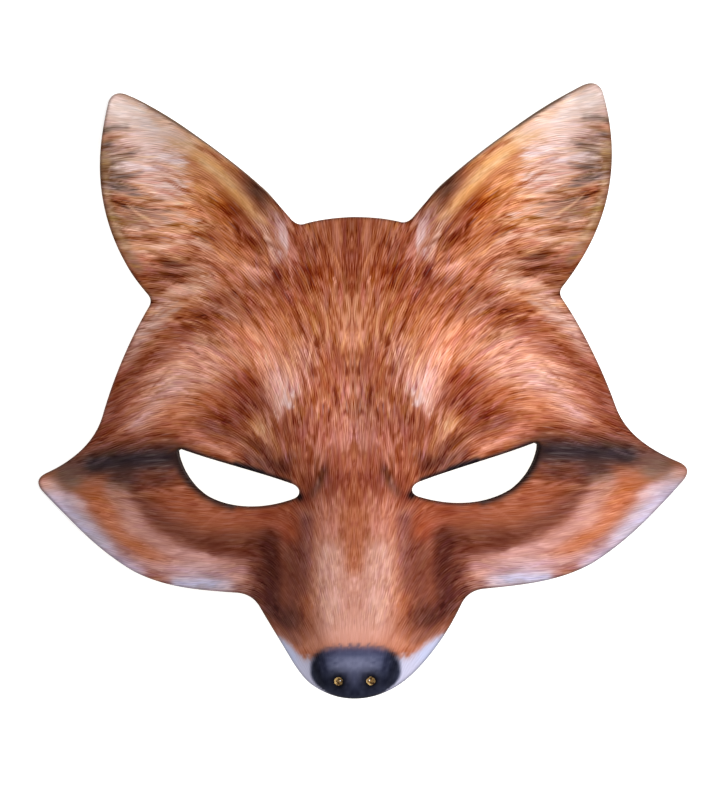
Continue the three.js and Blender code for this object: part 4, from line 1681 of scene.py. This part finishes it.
@dataclass(frozen=True)
class TornFoam:
    """Bare foam that swells into the nostril holes: brown with yellow spots, partly the foam's tan and partly
    painted highlights.
    """

    pit: Colour = (70, 44, 24)
    # Yellow of the spots: the foam's tan, lightened as painted highlights.
    tan_and_glint: Colour = (216, 180, 118)
    tan_and_glint_size: float = 0.9
    pit_to: float = 0.4
    tan_and_glint_from: float = 0.62
    roughness: float = 0.9
    specular: float = 0.2

    def material(self) -> bpy.types.Material:
        """Principled shader whose colour goes from the brown pit to the yellow spots, partly painted
        highlights, by a noise in Object coordinates.

        Returns:
            The material.
        """
        material, tree, shader = plain_shader("nostril_foam", self.roughness, self.specular)
        graph = NodeGraph(tree)
        place = graph.node("ShaderNodeTexCoord", {}).outputs["Object"]
        inputs = {"Vector": place, "Scale": 1.0 / (self.tan_and_glint_size * MM), "Detail": 2.0}
        noise = graph.node("ShaderNodeTexNoise", inputs).outputs["Fac"]
        ramp = graph.node("ShaderNodeValToRGB", {"Fac": noise})
        stops = ((self.pit_to, self.pit), (self.tan_and_glint_from, self.tan_and_glint))
        for stop, (position, colour) in zip(ramp.color_ramp.elements, stops):
            stop.position = position
            stop.color = (*linear(colour), 1.0)
        tree.links.new(ramp.outputs["Color"], shader.inputs["Base Color"])
        return material


@dataclass(frozen=True)
class MaskShell:
    """The half mask: printed face, cut edge and lining as one closed piece."""

    form: MaskForm
    pattern: MaskPattern
    front_pitch: float = 0.57
    back_pitch: float = 1.71
    edge_radius: float = 1.0
    print_gain: float = 0.92
    # Print value of the points that carry no print.
    unprinted: float = 128.0
    # Painted shade along the cut edges: how much it darkens the print, and how far in it reaches.
    edge_shade: float = 0.3
    edge_shade_width: float = 0.7
    streak_limit: float = 1.2
    # Number of the first nostril hole among the cut lines, after the outline and both eye holes.
    first_nostril: int = 3
    nostril_waist: float = 0.12
    # One finish for each side of the sheet, in the sides' order.
    finishes: tuple[PrintedCloth | PlainFinish | TornFoam, ...] = (
        PrintedCloth(),
        PlainFinish("cut_foam", (104, 78, 60), 0.9),
        PlainFinish("lining", (206, 196, 184), 0.95),
        TornFoam(),
        # Painted shade: the eye holes' walls are dark, as in the shade of the cloth's folded rim.
        PlainFinish("shaded_eye_edge", (46, 34, 32), 0.9),
    )

    def front_points(self, grid: CutGrid) -> np.ndarray:
        """Points of the front, rolled over at the edge.

        Formula: the front's height less r - sqrt(r^2 - (r - d)^2), with r the edge's radius and d the
        distance from the cut, where d is less than r.

        Args:
            grid: the cut grid.

        Returns:
            Points as rows of x, y and z.
        """
        x, y = grid.points.T
        into = np.clip(self.edge_radius - grid.edge_distance, 0.0, None)
        drop = self.edge_radius - np.sqrt(np.clip(self.edge_radius**2 - into**2, 0.0, None))
        return np.stack([x, y, self.form.front(x, y) - drop], axis=-1)

    def waist(self, upper: np.ndarray, lower: np.ndarray) -> np.ndarray:
        """Narrow middle of a small hole, where the pressed foam swells into it.

        Formula: the upper rim drawn in towards its centre, and moved half way to the lower rim.

        Args:
            upper: points of the rim at the front.
            lower: points of the rim at the back.

        Returns:
            One point for each point of the upper rim.
        """
        centre = upper.mean(axis=0)
        return centre + (upper - centre) * self.nostril_waist + 0.5 * (lower.mean(axis=0) - centre)

    def wall_side(self, line: int) -> Side:
        """Which side of the sheet the wall along a cut line is: outline, eye hole or nostril hole."""
        if line >= self.first_nostril:
            return Side.NOSTRIL
        return Side.EYE_EDGE if line > 0 else Side.CUT

    def closed_mesh(self, front: CutGrid, back: CutGrid) -> tuple[np.ndarray, list[tuple[np.ndarray, Side]]]:
        """Points and faces of the front, the back and the walls that join their rims.

        Args:
            front: grid of the front.
            back: grid of the back.

        Returns:
            Points in millimetres, the front's first, and the faces with the side that they belong to.
        """
        face, lining = self.front_points(front), self.form.back(*back.points.T)
        shift = len(face)
        points, walls = [face, lining], []
        count = shift + len(lining)
        for k, (rim, place) in enumerate(zip(front.rim, front.rim_place)):
            below, below_place = back.rim[k] + shift, back.rim_place[k]
            if k < self.first_nostril:
                walls.append((join_rims(rim, place, below, below_place), self.wall_side(k)))
                continue
            number = np.arange(count, count + len(rim))
            walls.append((join_rims(rim, place, number, place), self.wall_side(k)))
            walls.append((join_rims(number, place, below, below_place), self.wall_side(k)))
            points.append(self.waist(face[rim], lining[back.rim[k]]))
            count += len(rim)
        return np.concatenate(points), [
            (front.quads, Side.FACE),
            (front.triangles, Side.FACE),
            *walls,
            (back.quads[:, ::-1] + shift, Side.LINING),
            (back.triangles[:, ::-1] + shift, Side.LINING),
        ]

    def paint(self, piece: bpy.types.Object, front: CutGrid, outline: CutLine) -> None:
        """Stores the print, darkened towards the cut edges as painted shade, and what its fine streaks need
        on the front's points.

        Args:
            piece: the mask, whose first points are those of the front.
            front: grid of the front.
            outline: the mask's outline.
        """
        x, y = front.points.T
        fur = FurPrint(FoxCoat(), outline)
        fur.paint()
        # Painted shade: the print is darkened towards the cut edges, where the rolled rim turns away from the
        # light.
        painted_edge_shade = 1.0 - self.edge_shade * np.exp(-((front.edge_distance / self.edge_shade_width) ** 2))
        print_values = np.full((len(piece.data.vertices), 3), self.unprinted)
        print_values[: len(x)] = fur.at(x, y) * painted_edge_shade[:, None]
        print_colour = linear(print_values) * self.print_gain
        way_x, way_y = fur.direction.at(x, y).T
        streaks = np.minimum(fur.contrast.at(x, y), self.streak_limit)
        store(piece, "print_colour", np.column_stack([print_colour, np.ones(len(print_colour))]))
        store(piece, "lie", np.arctan2(way_y, way_x) + 0.5 * math.pi)
        store(piece, "threads", fur.coat.threads().at(x, y))
        store(piece, "strand", np.column_stack([np.abs(x), y, streaks]))

    def build(self) -> bpy.types.Object:
        """Builds the mesh, paints it and gives it its materials.

        Returns:
            The mask, at the origin.
        """
        lines = self.pattern.cut_lines()
        front, back = CutGrid.cut(lines, self.front_pitch), CutGrid.cut(lines, self.back_pitch)
        points, faces = self.closed_mesh(front, back)
        points[:, 1] += FACE_SHIFT_Y
        piece = make_piece("fox_mask", points * MM, faces)
        self.paint(piece, front, lines[0])
        for finish in self.finishes:
            piece.data.materials.append(finish.material())
        return piece


def make_piece(name: str, points: np.ndarray, faces: Sequence[tuple[np.ndarray, Side]]) -> bpy.types.Object:
    """An object whose mesh has the given points and faces.

    Args:
        name: name of the piece.
        points: points in metres.
        faces: arrays of corners with the side of the sheet that they belong to.

    Returns:
        The object, at the origin.
    """
    corners = np.concatenate([array.ravel() for array, _ in faces])
    sizes = np.concatenate([np.full(len(array), array.shape[1]) for array, _ in faces])
    sides = np.concatenate([np.full(len(array), side.value) for array, side in faces])
    mesh = bpy.data.meshes.new(name)
    mesh.vertices.add(len(points))
    mesh.vertices.foreach_set("co", points.astype(np.float32).ravel())
    mesh.loops.add(len(corners))
    mesh.loops.foreach_set("vertex_index", corners.astype(np.int32))
    mesh.polygons.add(len(sizes))
    mesh.polygons.foreach_set("loop_start", (np.cumsum(sizes) - sizes).astype(np.int32))
    mesh.polygons.foreach_set("material_index", sides.astype(np.int32))
    mesh.polygons.foreach_set("use_smooth", ~np.isin(sides, (Side.CUT.value, Side.EYE_EDGE.value)))
    mesh.update(calc_edges=True)
    mesh.validate()
    piece = bpy.data.objects.new(name, mesh)
    bpy.context.scene.collection.objects.link(piece)
    return piece


def store(piece: bpy.types.Object, name: str, values: np.ndarray) -> None:
    """Stores values for a piece's first points under a name, and 0 for its other points.

    Args:
        piece: the piece.
        name: name of the attribute.
        values: one number, a vector of three or a colour of four numbers for each point.
    """
    width = values.size // len(values)
    kind, field = {1: ("FLOAT", "value"), 3: ("FLOAT_VECTOR", "vector"), 4: ("FLOAT_COLOR", "color")}[width]
    every = np.zeros((len(piece.data.vertices), width), np.float32)
    every[: len(values)] = values.reshape(-1, width)
    attributes = piece.data.color_attributes if width == 4 else piece.data.attributes
    attributes.new(name, kind, "POINT").data.foreach_set(field, every.ravel())


@dataclass(frozen=True)
class Studio:
    """Pale floor, soft light and the camera that looks down on the mask."""

    lens: float = 200.0
    distance: float = 1542.0
    target: tuple[float, float, float] = (1.2, 0.2, 30.0)
    yaw: float = 2.6
    roll: float = 1.04
    sight_metres: float = 20.0
    floor_half_metres: float = 3.0
    floor_gap_metres: float = 0.0004
    floor_colour: Colour = (0.9, 0.9, 0.9)
    floor_roughness: float = 0.9
    floor_specular: float = 0.1
    floor_glow: float = 0.6
    sky: float = 0.5
    key_power: float = 2.3
    key_width: float = 40.0
    key_way: tuple[float, float, float] = (0.85, 0.15, 0.95)

    def camera(self) -> None:
        """Places the camera: it stands a little to the right of the face and leans clockwise."""
        yaw, roll = math.radians(self.yaw), math.radians(self.roll)
        back = Vector((math.sin(yaw), 0.0, math.cos(yaw)))
        right, up = Vector((math.cos(yaw), 0.0, -math.sin(yaw))), Vector((0.0, 1.0, 0.0))
        leaned_right = right * math.cos(roll) - up * math.sin(roll)
        leaned_up = right * math.sin(roll) + up * math.cos(roll)
        target = Vector(self.target) + Vector((0.0, FACE_SHIFT_Y, 0.0))
        data = bpy.data.cameras.new("camera")
        data.lens = self.lens
        data.clip_end = self.sight_metres
        camera = bpy.data.objects.new("camera", data)
        place = Matrix.Translation((target + back * self.distance) * MM)
        camera.matrix_world = place @ Matrix((leaned_right, leaned_up, back)).transposed().to_4x4()
        bpy.context.scene.collection.objects.link(camera)
        bpy.context.scene.camera = camera

    def floor(self) -> bpy.types.Object:
        """A white lit table just under the mask.

        Returns:
            The table.
        """
        half = self.floor_half_metres
        corners = [(-half, -half, 0), (half, -half, 0), (half, half, 0), (-half, half, 0)]
        mesh = bpy.data.meshes.new("floor")
        mesh.from_pydata(corners, [], [(0, 1, 2, 3)])
        material, _, shader = plain_shader("white_table", self.floor_roughness, self.floor_specular)
        shader.inputs["Base Color"].default_value = (*self.floor_colour, 1.0)
        shader.inputs["Emission Color"].default_value = (1.0, 1.0, 1.0, 1.0)
        shader.inputs["Emission Strength"].default_value = self.floor_glow
        mesh.materials.append(material)
        floor = bpy.data.objects.new("floor", mesh)
        floor.location.z = -self.floor_gap_metres
        bpy.context.scene.collection.objects.link(floor)
        return floor

    def lights(self) -> None:
        """An even white sky and one soft light from the right."""
        world = bpy.data.worlds.new("studio")
        bpy.context.scene.world = world
        world.use_nodes = True
        sky = world.node_tree.nodes["Background"]
        sky.inputs["Color"].default_value = (1.0, 1.0, 1.0, 1.0)
        sky.inputs["Strength"].default_value = self.sky
        data = bpy.data.lights.new("key", "SUN")
        data.energy = self.key_power
        data.angle = math.radians(self.key_width)
        key = bpy.data.objects.new("key", data)
        key.rotation_euler = Vector(self.key_way).to_track_quat("Z", "Y").to_euler()
        bpy.context.scene.collection.objects.link(key)


def main() -> None:
    """Builds the studio and the mask, and reports each."""
    logging.basicConfig(level=logging.INFO, format="%(name)s: %(message)s")
    bpy.context.scene.view_settings.view_transform = "Standard"
    studio = Studio()
    studio.camera()
    studio.lights()
    studio.floor()
    log.info("studio ready")
    mask = MaskShell(MaskForm(), MaskPattern()).build()
    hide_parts("mask_shell")
    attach(mask, "root")
    log.info("mask: %d points, %d faces", len(mask.data.vertices), len(mask.data.polygons))


if __name__ == "__main__":
    main()
